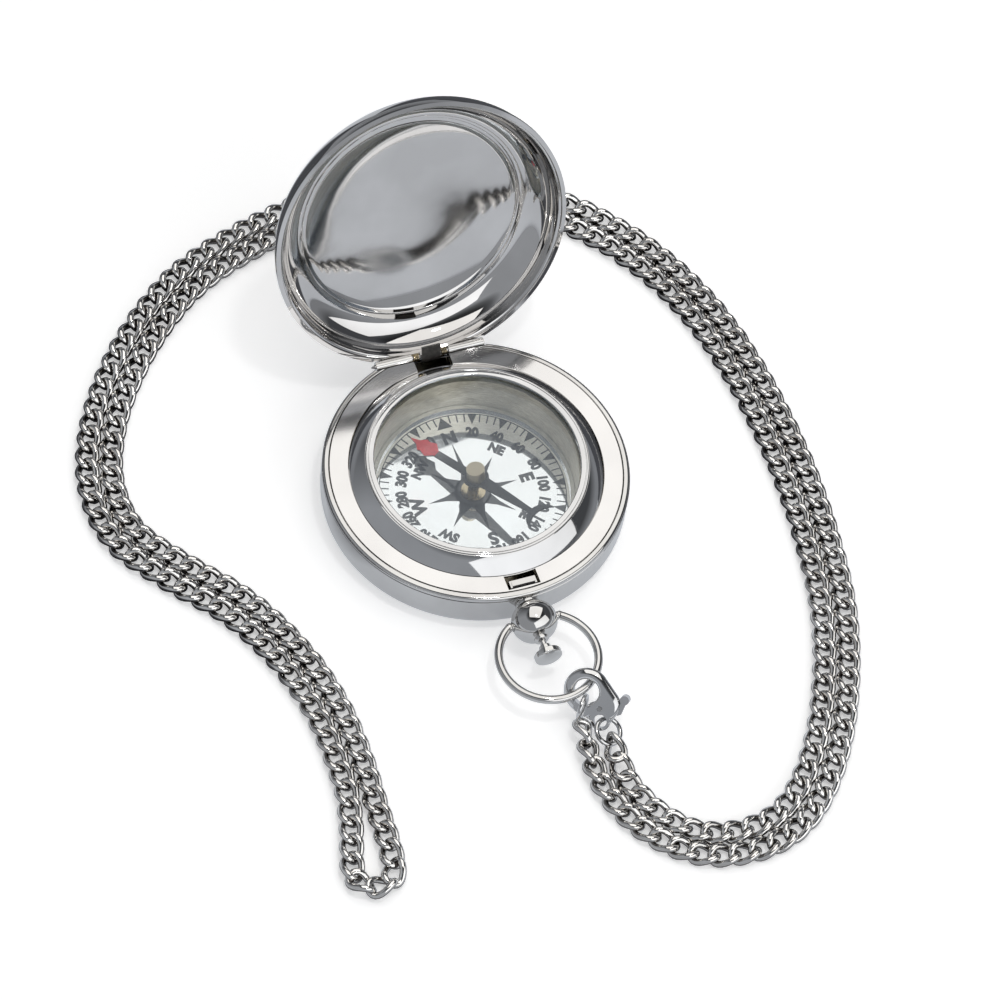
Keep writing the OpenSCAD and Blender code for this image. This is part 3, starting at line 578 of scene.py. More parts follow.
def add_case():
    shell = solid_mesh("shell", *revolved(case_profile(), ROUND_SEGMENTS))
    notch = block_mesh((-NOTCH_HALF, NOTCH_Y, NOTCH_LOW),
                       (NOTCH_HALF, CASE_R + CUT_PAST, RING_TOP + CUT_PAST))
    shell = combine(shell, [notch], "DIFFERENCE")
    added = [ball_mesh()]
    inner = MID_BARREL_L / 2 + 2 * SIDE_GAP + COIL_L
    outer = PIN_HALF - SIDE_GAP
    for side in (-1, 1):
        a, b = sorted((side * inner, side * outer))
        added.append(rod_mesh((a, HINGE.y, HINGE.z), (b, HINGE.y, HINGE.z), BARREL_R))
        added.append(block_mesh((a, NOTCH_Y + SIDE_GAP, NOTCH_LOW - SUPPORT_ROOT),
                                (b, HINGE.y + SIDE_GAP, HINGE.z)))
    body = combine(shell, added, "UNION")
    past_pin = PIN_HALF + CUT_PAST
    holes = [rod_mesh((-past_pin, HINGE.y, HINGE.z), (past_pin, HINGE.y, HINGE.z), BARREL_HOLE_R),
             rod_mesh((-BALL_D, BALL_Y, STEM_Z), (BALL_D, BALL_Y, STEM_Z), BOW_HOLE_R),
             rod_mesh((0, BALL_Y - BALL_D, STEM_Z), (0, CUT_PAST - CASE_R, STEM_Z), SHAFT_HOLE_R)]
    body = combine(body, holes, "DIFFERENCE")
    add_mesh("case_shell", body, nickel, "root", ("case_body",))


# Bezel

LIP_TOP_W = 0.85 * MM
BEAD_GAP = 0.14 * MM
BEAD_W = 0.26 * MM
FOOT_IN = 0.12 * MM
SLOPE_STEPS = 24
FLANK_BULGE = 0.03
LIP_T = 0.6 * MM
BEZEL_W = 4 * MM
BEZEL_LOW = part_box("bezel")[0].z


def add_bezel():
    inner = BEZEL_R - BEZEL_W
    lip_r = inner + LIP_TOP_W
    bead_in = lip_r + BEAD_GAP
    bead_out = bead_in + BEAD_W
    top = BEZEL_TOP
    seat = GLASS_R + 0.1 * MM
    lip = fillet([
        (inner, top - LIP_T, 0), (inner, top - 0.02 * MM, 0.16 * MM), (lip_r, top - 0.02 * MM, 0.05 * MM),
        (lip_r + 0.03 * MM, top - 0.2 * MM, 0), (bead_in, top - 0.2 * MM, 0),
        (bead_in + 0.03 * MM, top - 0.06 * MM, 0.03 * MM), (bead_out, top - 0.06 * MM, 0.05 * MM),
        (bead_out + 0.04 * MM, top - 0.3 * MM, 0), (bead_out + 0.16 * MM, top - 0.34 * MM, 0)], 6)
    start = Vector((bead_out + 0.2 * MM, top - 0.24 * MM))
    end = Vector((BEZEL_R - FOOT_IN, RING_TOP - 0.05 * MM))
    bulge = (end - start).length * FLANK_BULGE
    out = Vector((start.y - end.y, end.x - start.x)).normalized()
    slope = []
    for i in range(SLOPE_STEPS + 1):
        share = i / SLOPE_STEPS
        point = start.lerp(end, share) + out * bulge * 4 * share * (1 - share)
        slope.append((point.x, point.y))
    foot = [(BEZEL_R - FOOT_IN, RING_TOP - 0.3 * MM), (BEZEL_R, RING_TOP - 0.35 * MM),
            (BEZEL_R, BEZEL_LOW), (seat, BEZEL_LOW), (seat, top - LIP_T)]
    verts, faces = revolved(lip + slope + foot, ROUND_SEGMENTS)
    add_piece("bezel_ring", verts, faces, bezel_nickel, "root", ("bezel",), 1e-7)


# Lid, drawn closed and turned open about the hinge

LID_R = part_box("lid")[1].x
LID_LOW = RING_TOP + 0.15 * MM
LID_H = 6.6 * MM
LID_CROWN = 1 * MM
DISH_DEPTH = 1.2 * MM
LID_BAND = 6 * MM
LID_WALL = 0.7 * MM
LID_RIM_H = 0.9 * MM
LID_RIM_W = 0.25 * MM
CROWN_STEPS = 14
DISH_STEPS = 24
LID_STEP = 0.3 * MM
LID_TOP = LID_LOW + LID_H
LID_NOTCH_TOP = HINGE.z + BARREL_R + SIDE_GAP


def lid_profile():
    disc = LID_R - LID_BAND
    inner = LID_R - LID_WALL - 0.5 * MM
    low = LID_LOW
    outer = fillet([(LID_R - 0.1 * MM, low, 0), (LID_R, low + 0.1 * MM, 0),
                    (LID_R, low + LID_RIM_H - 0.12 * MM, 0.08 * MM),
                    (LID_R - LID_RIM_W, low + LID_RIM_H, 0)], 4)[1:]
    outer += arc(disc, low + LID_RIM_H, LID_BAND - LID_RIM_W, LID_H - LID_RIM_H, 6, 90, 36)
    shares = [1 - i / CROWN_STEPS for i in range(1, CROWN_STEPS + 1)]
    outer += [(disc * u, LID_TOP + LID_CROWN * (1 - u ** 2)) for u in shares]
    dish = []
    for i in range(DISH_STEPS + 1):
        u = i / DISH_STEPS
        hollow = DISH_DEPTH * (1 - 0.55 * u ** 2 - 0.45 * u ** 4)
        dish.append(((disc - 0.9 * MM) * u, LID_TOP - LID_WALL + 0.1 * MM + hollow))
    level = LID_TOP - LID_WALL
    border = fillet([(dish[-1][0], dish[-1][1], 0), (disc - 0.75 * MM, level + 0.02 * MM, 0.1 * MM),
                     (disc - 0.12 * MM, level - 0.02 * MM, 0.12 * MM), (disc, level - LID_STEP, 0)], 5)[1:]
    band = arc(disc, low + LID_RIM_H, inner - disc, LID_H - LID_RIM_H - LID_WALL - LID_STEP, 86, 0, 36)
    rim = [(inner, low + 0.5 * MM), (inner + 0.12 * MM, low + 0.42 * MM),
           (inner + 0.4 * MM, low + 0.38 * MM), (inner + 0.45 * MM, low + 0.06 * MM),
           (inner + 0.5 * MM, low)]
    return outer + dish + border + band + rim


def add_lid():
    shell = solid_mesh("lid_shell", *revolved(lid_profile(), ROUND_SEGMENTS))
    notch = block_mesh((-NOTCH_HALF, NOTCH_Y, 0), (NOTCH_HALF, CASE_R + CUT_PAST, LID_NOTCH_TOP))
    shell = combine(shell, [notch], "DIFFERENCE")
    half = MID_BARREL_L / 2
    barrel = rod_mesh((-half, HINGE.y, HINGE.z), (half, HINGE.y, HINGE.z), BARREL_R)
    web = block_mesh((-half, HINGE.y, HINGE.z), (half, HINGE.y + BARREL_R, LID_NOTCH_TOP + 0.5 * MM))
    shell = combine(shell, [barrel, web], "UNION")
    bore = rod_mesh((-2 * half, HINGE.y, HINGE.z), (2 * half, HINGE.y, HINGE.z), BARREL_HOLE_R)
    shell = combine(shell, [bore], "DIFFERENCE")
    to_hinge = Matrix.Translation(HINGE)
    shell.transform(to_hinge @ Matrix.Rotation(-OPEN_ANGLE, 4, "X") @ to_hinge.inverted())
    add_mesh("lid_cover", shell, lid_nickel, "lid_body", ("lid",))


# Hinge springs

COIL_WIRE_R = 0.11 * MM
COIL_TURNS = 4
COIL_STEPS = 20 * COIL_TURNS
COIL_IN = 0.07 * MM


def coil_path(start, end, side):
    """The middle line of a wire wound about the hinge from one X to another."""
    reach = BARREL_R - COIL_IN - COIL_WIRE_R
    path = []
    for i in range(COIL_STEPS + 1):
        share = i / COIL_STEPS
        turn = 2 * math.pi * COIL_TURNS * share
        path.append((start + (end - start) * share, HINGE.y + reach * math.cos(turn),
                     HINGE.z + side * reach * math.sin(turn)))
    return path


def add_springs():
    for side, name in ((-1, "left"), (1, "right")):
        low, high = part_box("spring_coil_" + name)
        path = coil_path(low.x + COIL_WIRE_R, high.x - COIL_WIRE_R, side)
        verts, faces = sweep(path, COIL_WIRE_R, 8, False)
        add_piece("spring_wire_" + name, verts, faces, brass, "root", ("spring_coil_" + name,))


# Push button

HEAD_T = 1.5 * MM
COLLAR_R = 1 * MM
COLLAR_L = 0.9 * MM
SHAFT_R = 0.55 * MM


def add_button():
    low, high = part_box("push_button")
    head_r = (high.x - low.x) / 2
    length = high.y - low.y
    profile = fillet([
        (0, 0, 0), (head_r - 0.45 * MM, 0, 0), (head_r, 0.25 * MM, 0.15 * MM),
        (head_r, HEAD_T - 0.42 * MM, 0.1 * MM), (COLLAR_R + 0.15 * MM, HEAD_T, 0.1 * MM),
        (COLLAR_R, HEAD_T, 0), (COLLAR_R, HEAD_T + COLLAR_L, 0.12 * MM), (SHAFT_R, HEAD_T + COLLAR_L, 0),
        (SHAFT_R, length, 0), (0, length, 0)])
    mesh = solid_mesh("button", *revolved(profile, 64))
    mesh.transform(Matrix.Translation((0, low.y, STEM_Z)) @ Matrix.Rotation(-math.pi / 2, 4, "X"))
    add_mesh("button_knob", mesh, nickel, "button_body", ("push_button",))


# Dial print

PRINT_T = 0.012 * MM
PRINT_Z = DIAL_TOP + 0.004 * MM
DIAL_TURN = math.radians(1.5)
BAND_IN = 13.0 * MM
BAND_OUT = 15.3 * MM
NUMBER_R = 11.75 * MM
LETTER_R = 9.45 * MM
STAR_R = 7.7 * MM
STAR_NORTH_R = 10.2 * MM
STAR_CORE_R = 3.0 * MM
STAR_BORE_R = 0.75 * MM
STAR_WAISTS = ((4.6 * MM, 0.42 * MM), (2.6 * MM, 1.1 * MM))
NORTH_OUT = 1.6 * MM
TICK_START = BAND_IN + 0.75 * MM
TICK_HALF = 0.11 * MM
WEDGE_START = BAND_IN + 0.25 * MM
WEDGE_HALF = 0.75 * MM
ARROW_TIP = BAND_OUT - 0.1 * MM
ARROW_HALF = 1.3 * MM
TEXT_SIZES = {"main": (3.1 * MM, 0.17 * MM, 1.0), "between": (2.25 * MM, 0.15 * MM, 0.92),
              "number": (2.4 * MM, 0.15 * MM, 0.86)}


class Sheet:
    """Thin flat prints gathered into one mesh."""

    def __init__(self):
        self.verts = []
        self.faces = []

    def add(self, verts, faces):
        start = len(self.verts)
        self.verts += [tuple(v) for v in verts]
        self.faces += [tuple(start + i for i in face) for face in faces]

    def polygon(self, outline):
        count = len(outline)
        verts = [(x, y, z) for z in (PRINT_Z, PRINT_Z + PRINT_T) for x, y in outline]
        sides = [(i, (i + 1) % count, count + (i + 1) % count, count + i) for i in range(count)]
        self.add(verts, sides + [tuple(range(count))[::-1], tuple(range(count, 2 * count))])

    def circle_line(self, radius, width, steps=180):
        profile = [(radius - width / 2, PRINT_Z), (radius + width / 2, PRINT_Z),
                   (radius + width / 2, PRINT_Z + PRINT_T), (radius - width / 2, PRINT_Z + PRINT_T)]
        self.add(*revolved(profile, steps))


def bearing(angle, radius, aside=0.0):
    """The point at a bearing clockwise from north, at a radius, moved aside."""
    a = math.radians(angle) - DIAL_TURN
    return (radius * math.sin(a) + aside * math.cos(a), radius * math.cos(a) - aside * math.sin(a))


def lettering(text, size, weight, narrow):
    curve = bpy.data.curves.new("letters", "FONT")
    curve.body = text
    curve.size = size
    curve.offset = weight
    curve.align_x = "CENTER"
    curve.align_y = "CENTER"
    curve.extrude = PRINT_T / 2
    curve.resolution_u = 4
    holder = bpy.data.objects.new("letters", curve)
    bpy.context.scene.collection.objects.link(holder)
    depsgraph = bpy.context.evaluated_depsgraph_get()
    mesh = bpy.data.meshes.new_from_object(holder.evaluated_get(depsgraph))
    verts = [(v.co.x * narrow, v.co.y, v.co.z) for v in mesh.vertices]
    faces = [tuple(p.vertices) for p in mesh.polygons]
    bpy.data.objects.remove(holder)
    return verts, faces


def place_text(sheet, text, angle, radius, kind):
    verts, faces = lettering(text, *TEXT_SIZES[kind])
    across = (min(v[0] for v in verts) + max(v[0] for v in verts)) / 2
    upright = (min(v[1] for v in verts) + max(v[1] for v in verts)) / 2
    placed = []
    for x, y, z in verts:
        px, py = bearing(angle, radius + y - upright, x - across)
        placed.append((px, py, PRINT_Z + PRINT_T / 2 + z))
    sheet.add(placed, faces)


def mark(sheet, angle, outline):
    """A flat shape at a bearing, from its points (radius, aside)."""
    sheet.polygon([bearing(angle, radius, aside) for radius, aside in outline])


def add_print():
    """The star, the letters and numbers, and the band with its arrow, wedges and ticks."""
    sheet = Sheet()
    left = [(radius, -half) for radius, half in reversed(STAR_WAISTS)]
    for angle in range(0, 360, 45):
        tip = STAR_NORTH_R if angle == 0 else STAR_R
        mark(sheet, angle, [(tip, 0), *STAR_WAISTS, *left])
    sheet.circle_line((STAR_CORE_R + STAR_BORE_R) / 2, STAR_CORE_R - STAR_BORE_R, 96)
    for text, angle in (("N", 0), ("E", 90), ("S", 180), ("W", 270)):
        place_text(sheet, text, angle, LETTER_R + (NORTH_OUT if text == "N" else 0), "main")
    for text, angle in (("NE", 45), ("SE", 135), ("SW", 225), ("NW", 315)):
        place_text(sheet, text, angle, LETTER_R, "between")
    for number in range(20, 360, 20):
        place_text(sheet, str(number), number, NUMBER_R, "number")
    for number in range(0, 360, 5):
        if number == 0:
            mark(sheet, number, [(ARROW_TIP, 0), (BAND_IN, ARROW_HALF), (BAND_IN, -ARROW_HALF)])
        elif number % 20 == 0:
            mark(sheet, number, [(BAND_OUT, -WEDGE_HALF), (BAND_OUT, WEDGE_HALF), (WEDGE_START, 0)])
        else:
            mark(sheet, number, [(TICK_START, -TICK_HALF), (BAND_OUT, -TICK_HALF), (BAND_OUT, TICK_HALF),
                                 (TICK_START, TICK_HALF)])
    sheet.circle_line(BAND_OUT, 0.16 * MM)
    add_piece("dial_print", sheet.verts, sheet.faces, black_print, "root")


# Clasp: its own frame hangs on the lever's joint

CLASP_YAW = math.radians(13.5)
CLASP_PITCH = math.radians(32)
CLASP_ROLL = math.radians(-38)
HOOK_AT = Vector((0, 5.2)) * MM
HOOK_R = 3.75 * MM
HOLE_R = 2.05 * MM
CLAW_AT = Vector((1.4, 2.2)) * MM
CLAW_R = 2.9 * MM
FOOT_AT = Vector((0.35, 0.15)) * MM
CLASP_FOOT_R = 1.2 * MM
LEVER_AT = Vector((0.9, 1.9)) * MM
CLASP_T = 2 * MM
CLASP_EDGE = 0.92 * MM
HOLE_EDGE = 0.5 * MM
CLASP_EDGE_W = 1.15 * MM
HOLE_EDGE_W = 0.7 * MM
EYE_HOLE_R = 1.05 * MM
EYE_R = 1.6 * MM
EYE_T = 0.9 * MM
GATE_OUT = 4.15 * MM
GATE_IN = 2 * MM
GATE_FROM = 130
GATE_TO = 188.5
LEVER_T = 0.8 * MM
LEVER_GAP = 0.08 * MM
EYE_AT = Vector((0, 0))
EYE_EDGE = 0.2 * MM
STEP_R = EYE_R + 0.2 * MM
RIVET_HOLE_R = 0.45 * MM
NUB_FROM = -66
NUB_TO = -6
FLANK_FROM = 114
FLANK_TO = 190


def clasp_matrix():
    turn = (Matrix.Rotation(CLASP_YAW, 4, "Z") @ Matrix.Rotation(CLASP_PITCH, 4, "X")
            @ Matrix.Rotation(CLASP_ROLL, 4, "Y"))
    pivot = Vector(joints["clasp_open"]["pos_m"])
    return Matrix.Translation(pivot) @ turn @ Matrix.Translation((-LEVER_AT.x, -LEVER_AT.y, 0))


def tangent_angle(a, ra, b, rb):
    d = b - a
    return math.degrees(math.atan2(d.y, d.x) - math.acos((ra - rb) / d.length))


def clasp_outline():
    low = tangent_angle(FOOT_AT, CLASP_FOOT_R, CLAW_AT, CLAW_R)
    side = tangent_angle(CLAW_AT, CLAW_R, HOOK_AT, HOOK_R)
    left = tangent_angle(HOOK_AT, HOOK_R, FOOT_AT, CLASP_FOOT_R) + 360
    return (arc(FOOT_AT.x, FOOT_AT.y, CLASP_FOOT_R, CLASP_FOOT_R, left - 360, low, 16)
            + arc(CLAW_AT.x, CLAW_AT.y, CLAW_R, CLAW_R, low, side, 20)
            + arc(HOOK_AT.x, HOOK_AT.y, HOOK_R, HOOK_R, side, left, 64))


def plate_mesh(outlines, thickness, edge, edge_w=None):
    """A flat plate inside its outlines, with round edges, or oval ones where an edge has a width too."""
    if edge_w:
        mesh = plate_mesh(outlines, thickness * edge_w / edge, edge_w)
        mesh.transform(Matrix.Diagonal((1, 1, edge / edge_w, 1)))
        mesh.update()
        return mesh
    curve = bpy.data.curves.new("plate", "CURVE")
    curve.dimensions = "2D"
    curve.fill_mode = "BOTH"
    curve.extrude = thickness / 2 - edge
    curve.bevel_depth = edge
    curve.bevel_resolution = 4
    curve.offset = -edge
    for outline in outlines:
        spline = curve.splines.new("POLY")
        spline.points.add(len(outline) - 1)
        for point, (x, y) in zip(spline.points, outline):
            point.co = (x, y, 0, 1)
        spline.use_cyclic_u = True
    holder = bpy.data.objects.new("plate", curve)
    bpy.context.scene.collection.objects.link(holder)
    depsgraph = bpy.context.evaluated_depsgraph_get()
    mesh = bpy.data.meshes.new_from_object(holder.evaluated_get(depsgraph))
    bpy.data.objects.remove(holder)
    finish_mesh(mesh, 1e-6)
    return mesh


def prism_mesh(outline, low, high):
    count = len(outline)
    verts = [(x, y, z) for z in (low, high) for x, y in outline]
    faces = [(i, (i + 1) % count, count + (i + 1) % count, count + i) for i in range(count)]
    return solid_mesh("prism", verts, faces + [tuple(range(count))[::-1], tuple(range(count, 2 * count))])


def circle(centre, radius, steps):
    return arc(centre.x, centre.y, radius, radius, 0, 360, steps)[:-1]


def sector(centre, inner, outer, start, end):
    points = arc(centre.x, centre.y, outer, outer, start, end, 16)
    if inner > 0:
        return points + arc(centre.x, centre.y, inner, inner, end, start, 16)
    return points + [(centre.x, centre.y)]


def add_clasp():
    """The hook's body: a plate with oval edges, cut for the bow, gate, nub, eye and rivet."""
    body = plate_mesh([clasp_outline()], CLASP_T, CLASP_EDGE, CLASP_EDGE_W)
    far = 12 * MM
    frame_outline = [(-far, -far), (far, -far), (far, far), (-far, far)]
    hole = circle(HOOK_AT, HOLE_R, 48)
    body = combine(body, [plate_mesh([frame_outline, hole], CLASP_T, HOLE_EDGE, HOLE_EDGE_W)], "INTERSECT")
    gate = prism_mesh(sector(LEVER_AT, GATE_IN - LEVER_GAP, GATE_OUT + LEVER_GAP, GATE_FROM, GATE_TO),
                      -CLASP_T, CLASP_T)
    slot = LEVER_T / 2 + LEVER_GAP
    nub_side = prism_mesh(sector(LEVER_AT, 0, 2 * GATE_OUT, NUB_FROM, NUB_TO), -slot, slot)
    gate_side = prism_mesh(sector(LEVER_AT, 0, GATE_IN + 2 * LEVER_GAP, FLANK_FROM, FLANK_TO), -slot, slot)
    steps = [prism_mesh(circle(EYE_AT, STEP_R, 16), z, z + CLASP_T)
             for z in (EYE_T / 2, -EYE_T / 2 - CLASP_T)]
    body = combine(body, [gate, nub_side, gate_side, *steps], "DIFFERENCE")
    eye = plate_mesh([circle(EYE_AT, EYE_R, 48)], EYE_T, EYE_EDGE)
    body = combine(body, [eye], "UNION")
    eye_hole = prism_mesh(circle(EYE_AT, EYE_HOLE_R, 40), -CLASP_T, CLASP_T)
    rivet_hole = prism_mesh(circle(LEVER_AT, RIVET_HOLE_R, 32), -CLASP_T, CLASP_T)
    body = combine(body, [eye_hole, rivet_hole], "DIFFERENCE")
    body.transform(clasp_matrix())
    add_mesh("clasp_hook", body, clasp_nickel, "root", ("clasp_body",))


# Chain: the middle line between the strands, from the clasp to the fold, as in the part

BOW_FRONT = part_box("bow")[0].y
ROUTE = [
    (3.4, -9.3), (4.1, -15), (7, -21.5), (12.5, -27), (20, -29), (27.5, -27.5), (34, -22.5),
    (40.5, -13.5), (46, -2), (49.5, 9), (51.5, 21), (52.5, 33), (52.5, 45), (51.5, 57), (49, 69),
    (44.5, 80), (37.5, 90), (28.5, 98), (17, 103.5), (4, 106), (-9, 105.5), (-21, 102.5),
    (-31.5, 98), (-40.5, 91), (-48.5, 82), (-54.5, 72), (-57.5, 62), (-56.5, 52), (-50.5, 43),
    (-43.5, 34.5), (-38.5, 24.5), (-35.5, 13), (-35, 1), (-36, -9), (-37.5, -17)]
ROUTE_M = np.array(ROUTE) * MM + (0, BOW_FRONT)
STRAND_GAP = 3.9 * MM
STRAND_OPEN = 6.4 * MM
OPEN_SHARE = 0.05
LEAD = np.array([(1.7, -6, 1.1), (1.9, -2.5, 1.7)]) * MM + (0, BOW_FRONT, 0)
START = np.array([(5.55, -6.4)]) * MM + (0, BOW_FRONT)
LINK_PITCH = 3.25 * MM
WIRE_R = 0.57 * MM
LINK_A = 2.18 * MM
LINK_B = 1.45 * MM
LINK_TWIST = -0.66 * MM
LINK_STEPS = 24
WIRE_SIDES = 12
FOLD_ROLL = 0.4
END_ROLL = 0.95
START_ROLL = 0.9
CLIMB = np.array([1.1, 0.5, 0, 0, 0.1, 1.2]) * MM
STRAND_STEPS = 1600


def route_point(s):
    last = len(ROUTE_M) - 1
    i = min(int(s), last - 1)
    t = s - i
    b, c = ROUTE_M[i], ROUTE_M[i + 1]
    a = ROUTE_M[i - 1] if i > 0 else 2 * b - c
    d = ROUTE_M[i + 2] if i + 1 < last else 2 * c - b
    return 0.5 * (2 * b + (c - a) * t + (2 * a - 5 * b + 4 * c - d) * t ** 2
                  + (3 * b - a - 3 * c + d) * t ** 3)


def route_way(s):
    way = route_point(min(s + 0.05, len(ROUTE_M) - 1)) - route_point(max(s - 0.05, 0))
    return way / np.linalg.norm(way)


def strand_point(share, side):
    s = share * (len(ROUTE_M) - 1)
    near = min(max((1 - share) / OPEN_SHARE, 0), 1)
    wide = 1 - near * near * (3 - 2 * near)
    half = (STRAND_GAP + (STRAND_OPEN - STRAND_GAP) * wide) / 2
    x, y = route_point(s)
    wx, wy = route_way(s)
    return (x - wy * half * side, y + wx * half * side)


def chain_line():
    """Closely spaced points along the whole chain, from the jump ring to the end ring, seen from above."""
    last = len(ROUTE_M) - 1
    out = [strand_point(i / STRAND_STEPS, 1) for i in range(STRAND_STEPS + 1)]
    back = [strand_point(i / STRAND_STEPS, -1) for i in range(STRAND_STEPS, -1, -1)]
    mid, way = route_point(last), route_way(last)
    across = np.array((-way[1], way[0]))
    r = STRAND_OPEN / 2
    angles = np.linspace(0, math.pi, 60)[1:-1]
    turn = [mid + across * r * math.cos(a) + way * r * math.sin(a) for a in angles]
    return np.array(out + [tuple(p) for p in turn] + back), len(out), len(turn)


def link_loop():
    """The middle line of one link: an oval twisted out of its plane, along X."""
    t = np.linspace(0, 2 * np.pi, LINK_STEPS, endpoint=False)
    return np.stack([LINK_A * np.cos(t), LINK_B * np.sin(t), LINK_TWIST * np.sin(2 * t)], 1)


def point_at(s, lengths, line):
    """The point at a length along a line, which has a length for each of its points."""
    return np.array([np.interp(s, lengths, line[:, k]) for k in (0, 1)])


def link_roll(i, s, fold_at, total, pitch):
    """How far a link leans: more at the fold and at both ends, and a little unevenly all along."""
    roll = FOLD_ROLL * math.exp(-((s - fold_at) / pitch / 2.2) ** 2)
    roll += END_ROLL * math.exp(-((total - s) / pitch / 2.4) ** 2)
    roll += START_ROLL * math.exp(-(s / pitch / 1.5) ** 2)
    return roll + 0.06 * math.sin(i * 2.3) + 0.05 * math.sin(i * 0.71)


def add_chain():
    """The curb links, spaced along the whole line, each leaning on its own and resting on the table."""
    line, strand_count, turn_count = chain_line()
    flat = np.concatenate([START, line, LEAD[:, :2]])
    lengths = np.concatenate([[0], np.cumsum(np.linalg.norm(np.diff(flat, axis=0), axis=1))])
    fold_at = lengths[1 + strand_count + turn_count // 2]
    total = lengths[-1]
    count = round(total / LINK_PITCH)
    pitch = total / count
    climb_at = [0, lengths[1], lengths[2] + pitch, *lengths[-3:]]
    verts, faces = sweep(link_loop(), WIRE_R, WIRE_SIDES, True)
    all_verts = []
    all_faces = []
    up = np.array([0, 0, 1.0])
    for i in range(count):
        s = (i + 0.5) * pitch
        way = point_at(s + pitch / 2, lengths, flat) - point_at(s - pitch / 2, lengths, flat)
        way /= np.linalg.norm(way)
        roll = link_roll(i, s, fold_at, total, pitch)
        level = np.array([-way[1], way[0], 0])
        side = level * math.cos(roll) + up * math.sin(roll)
        top = up * math.cos(roll) - level * math.sin(roll)
        turned = verts[:, :1] * np.array([*way, 0]) + verts[:, 1:2] * side + verts[:, 2:] * top
        lift = np.interp(s, climb_at, CLIMB) - turned[:, 2].min()
        all_verts.append(turned + np.array([*point_at(s, lengths, flat), lift]))
        all_faces.append(np.array(faces) + i * len(verts))
    add_piece("chain_links", np.concatenate(all_verts), np.concatenate(all_faces), chain_nickel, "root",
              ("chain",))


# Floor, light and backdrop

STAGE_R = 3
STAGE_SIDES = 96
FLOOR_PAINT = (0.86, 0.86, 0.86)
FLOOR_GREY = (0.36, 0.375, 0.40)
FLOOR_SHADE = (0.05, 0.052, 0.058)
SHADE_X = (26 * MM, 31 * MM)
SHADE_Y = (-30 * MM, -22 * MM)
BACKDROP_STEPS = 23
WORLD_HEIGHTS = ((0.70, 1.0), (0.80, 0.35), (0.88, 0.1))
WORLD_DARK = (0.07, 0.073, 0.08)
WORLD_LOW = (0.27, 0.28, 0.30)
WORLD_SIDE = (-0.72, -0.69, 0)


def hide_from(piece, *rays):
    """Rays of the named kinds pass through the piece."""
    for ray in rays:
        setattr(piece, "visible_" + ray, False)


def stage_disc(name, height, color, glow):
    """A flat round floor of a plain paint that may shine a little by itself."""
    paint, tree, shader = new_material(name + "_paint", color, 0, 0.6)
    shader.inputs["Specular IOR Level"].default_value = 0
    shader.inputs["Emission Color"].default_value = (*color, 1)
    shader.inputs["Emission Strength"].default_value = glow
    edge = [(x, y, height) for x, y in arc(0, 0, STAGE_R, STAGE_R, 0, 360, STAGE_SIDES)[:-1]]
    mesh = bpy.data.meshes.new(name)
    mesh.from_pydata(edge, [], [tuple(range(STAGE_SIDES))])
    mesh.materials.append(paint)
    disc = bpy.data.objects.new(name, mesh)
    bpy.context.scene.collection.objects.link(disc)
    return disc


def shade_sides(paint):
    """A darker floor left and right of the case, out to the chain."""
    tree = paint.node_tree
    shader = tree.nodes["Principled BSDF"]
    at = coordinates(tree, "Object")
    aside = spread(tree, maths(tree, "ABSOLUTE", at["X"]), 0, 1, *SHADE_X)
    behind = spread(tree, at["Y"], 0, 1, *SHADE_Y)
    shade = ramp(tree, maths(tree, "MULTIPLY", aside, behind), FLOOR_GREY, FLOOR_SHADE, 0, 1)
    for socket in ("Base Color", "Emission Color"):
        tree.links.new(shade, shader.inputs[socket])


def add_stage():
    """A pale floor, a greyer one only in mirrorings, and a pale backdrop that only the camera sees."""
    floor = stage_disc("floor", -0.02 * MM, FLOOR_PAINT, 0.52)
    hide_from(floor, "glossy")
    grey = stage_disc("floor_in_metal", -0.01 * MM, FLOOR_GREY, 1.0)
    shade_sides(grey.data.materials[0])
    hide_from(grey, "camera", "diffuse", "transmission", "shadow")
    glow = bpy.data.materials.new("backdrop_glow")
    glow.use_nodes = True
    tree = glow.node_tree
    tree.nodes.remove(tree.nodes["Principled BSDF"])
    light = add_node(tree, "ShaderNodeEmission", Color=(0.97, 0.972, 0.975, 1), Strength=1.0)
    tree.links.new(light.outputs[0], tree.nodes["Material Output"].inputs["Surface"])
    profile = arc(0, 0, STAGE_R, STAGE_R, 0, 90, BACKDROP_STEPS)
    verts, faces = revolved(profile, STAGE_SIDES)
    # The faces that close the profile are left out, so that the dome is an open one
    dome_faces = [face for face in faces if face[0] % len(profile) != BACKDROP_STEPS]
    mesh = bpy.data.meshes.new("backdrop")
    mesh.from_pydata(verts, [], dome_faces)
    mesh.materials.append(glow)
    backdrop = bpy.data.objects.new("backdrop", mesh)
    bpy.context.scene.collection.objects.link(backdrop)
    hide_from(backdrop, "diffuse", "glossy", "transmission", "shadow")


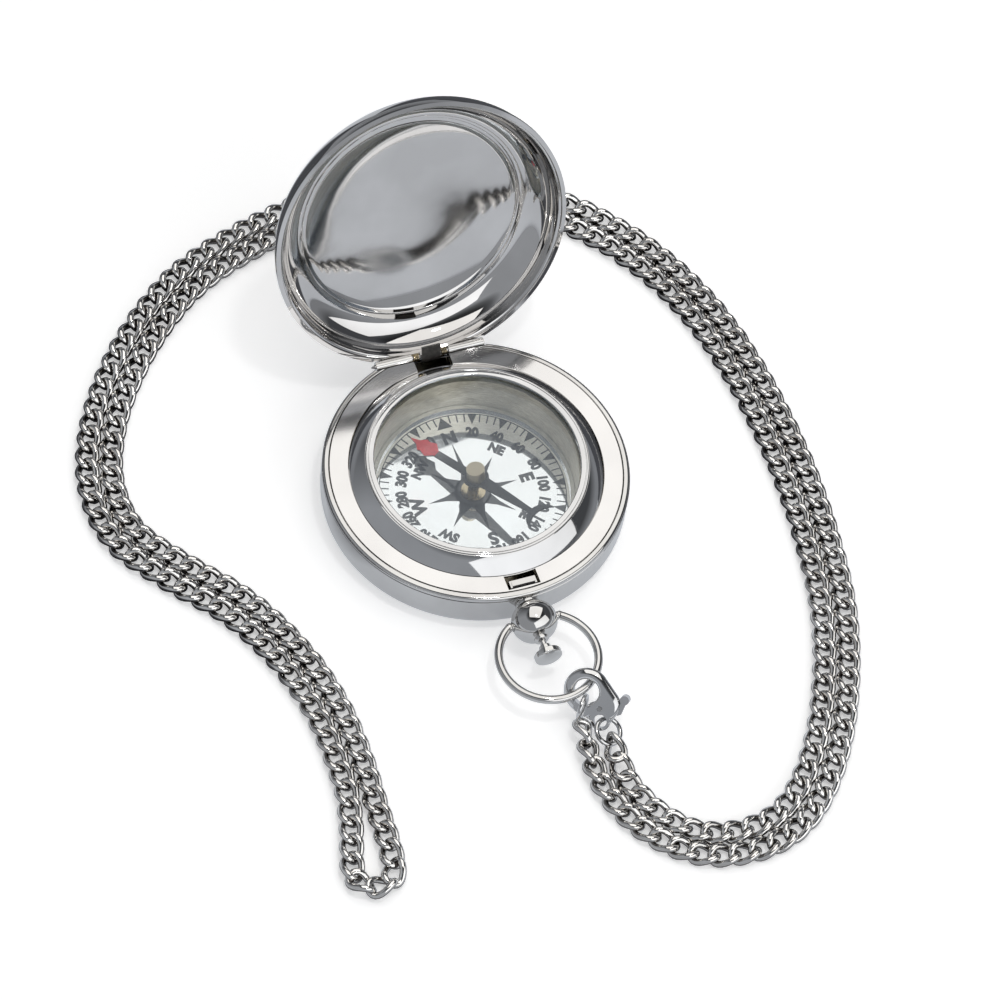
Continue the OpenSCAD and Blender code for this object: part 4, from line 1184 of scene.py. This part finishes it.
def add_world():
    """A dim studio: grey on the left and in front, dark elsewhere and above, paler near the floor."""
    world = bpy.data.worlds.new("studio")
    bpy.context.scene.world = world
    world.use_nodes = True
    tree = world.node_tree
    upward = coordinates(tree, "Generated")["Z"]
    height = add_node(tree, "ShaderNodeValToRGB")
    stops = height.color_ramp.elements
    stops[0].color = (1, 1, 1, 1)
    stops[1].color = (0.1, 0.1, 0.1, 1)
    for position, value in WORLD_HEIGHTS:
        stops.new(position).color = (value, value, value, 1)
    tree.links.new(upward, height.inputs["Fac"])
    facing = maths(tree, "MULTIPLY_ADD", share_along(tree, "Generated", WORLD_SIDE), 0.5, 0.5)
    side = ramp(tree, facing, WORLD_DARK, FLOOR_GREY, 0.3, 0.7)
    low = ramp(tree, upward, WORLD_LOW, (0, 0, 0), 0.08, 0.3)
    shade = mixed(tree, 1, height.outputs["Color"], side, "MULTIPLY")
    lighter = mixed(tree, 1, shade, low, "LIGHTEN")
    tree.links.new(lighter, tree.nodes["Background"].inputs["Color"])
    tree.nodes["Background"].inputs["Strength"].default_value = 1.0


def add_light(name, towards, distance, width, depth, radiance, color=(1, 1, 1)):
    """A soft panel in a direction from the case, facing it, of a given brightness."""
    data = bpy.data.lights.new(name, "AREA")
    data.shape = "RECTANGLE"
    data.size = width
    data.size_y = depth
    data.energy = radiance * math.pi * width * depth
    data.color = color
    panel = bpy.data.objects.new(name, data)
    way = Vector(towards).normalized()
    turn = way.to_track_quat("Z", "Y").to_matrix().to_4x4()
    panel.matrix_world = Matrix.Translation(AIM + way * distance) @ turn
    bpy.context.scene.collection.objects.link(panel)


def add_lights():
    add_light("top_panel", (0.12, 0.25, 0.96), 0.7, 0.75, 0.95, 1.25, (1.0, 0.985, 0.965))
    add_light("right_card", (0.385, -0.723, 0.574), 0.9, 1.3, 0.62, 1.05)
    add_light("key", (0.068, -0.16, 1.0), 0.68, 0.05, 0.05, 60)
    bpy.context.scene.view_settings.view_transform = "Standard"


add_camera()
add_stage()
add_world()
add_lights()
add_case()
add_bezel()
add_lid()
add_springs()
add_button()
add_print()
add_clasp()
add_chain()
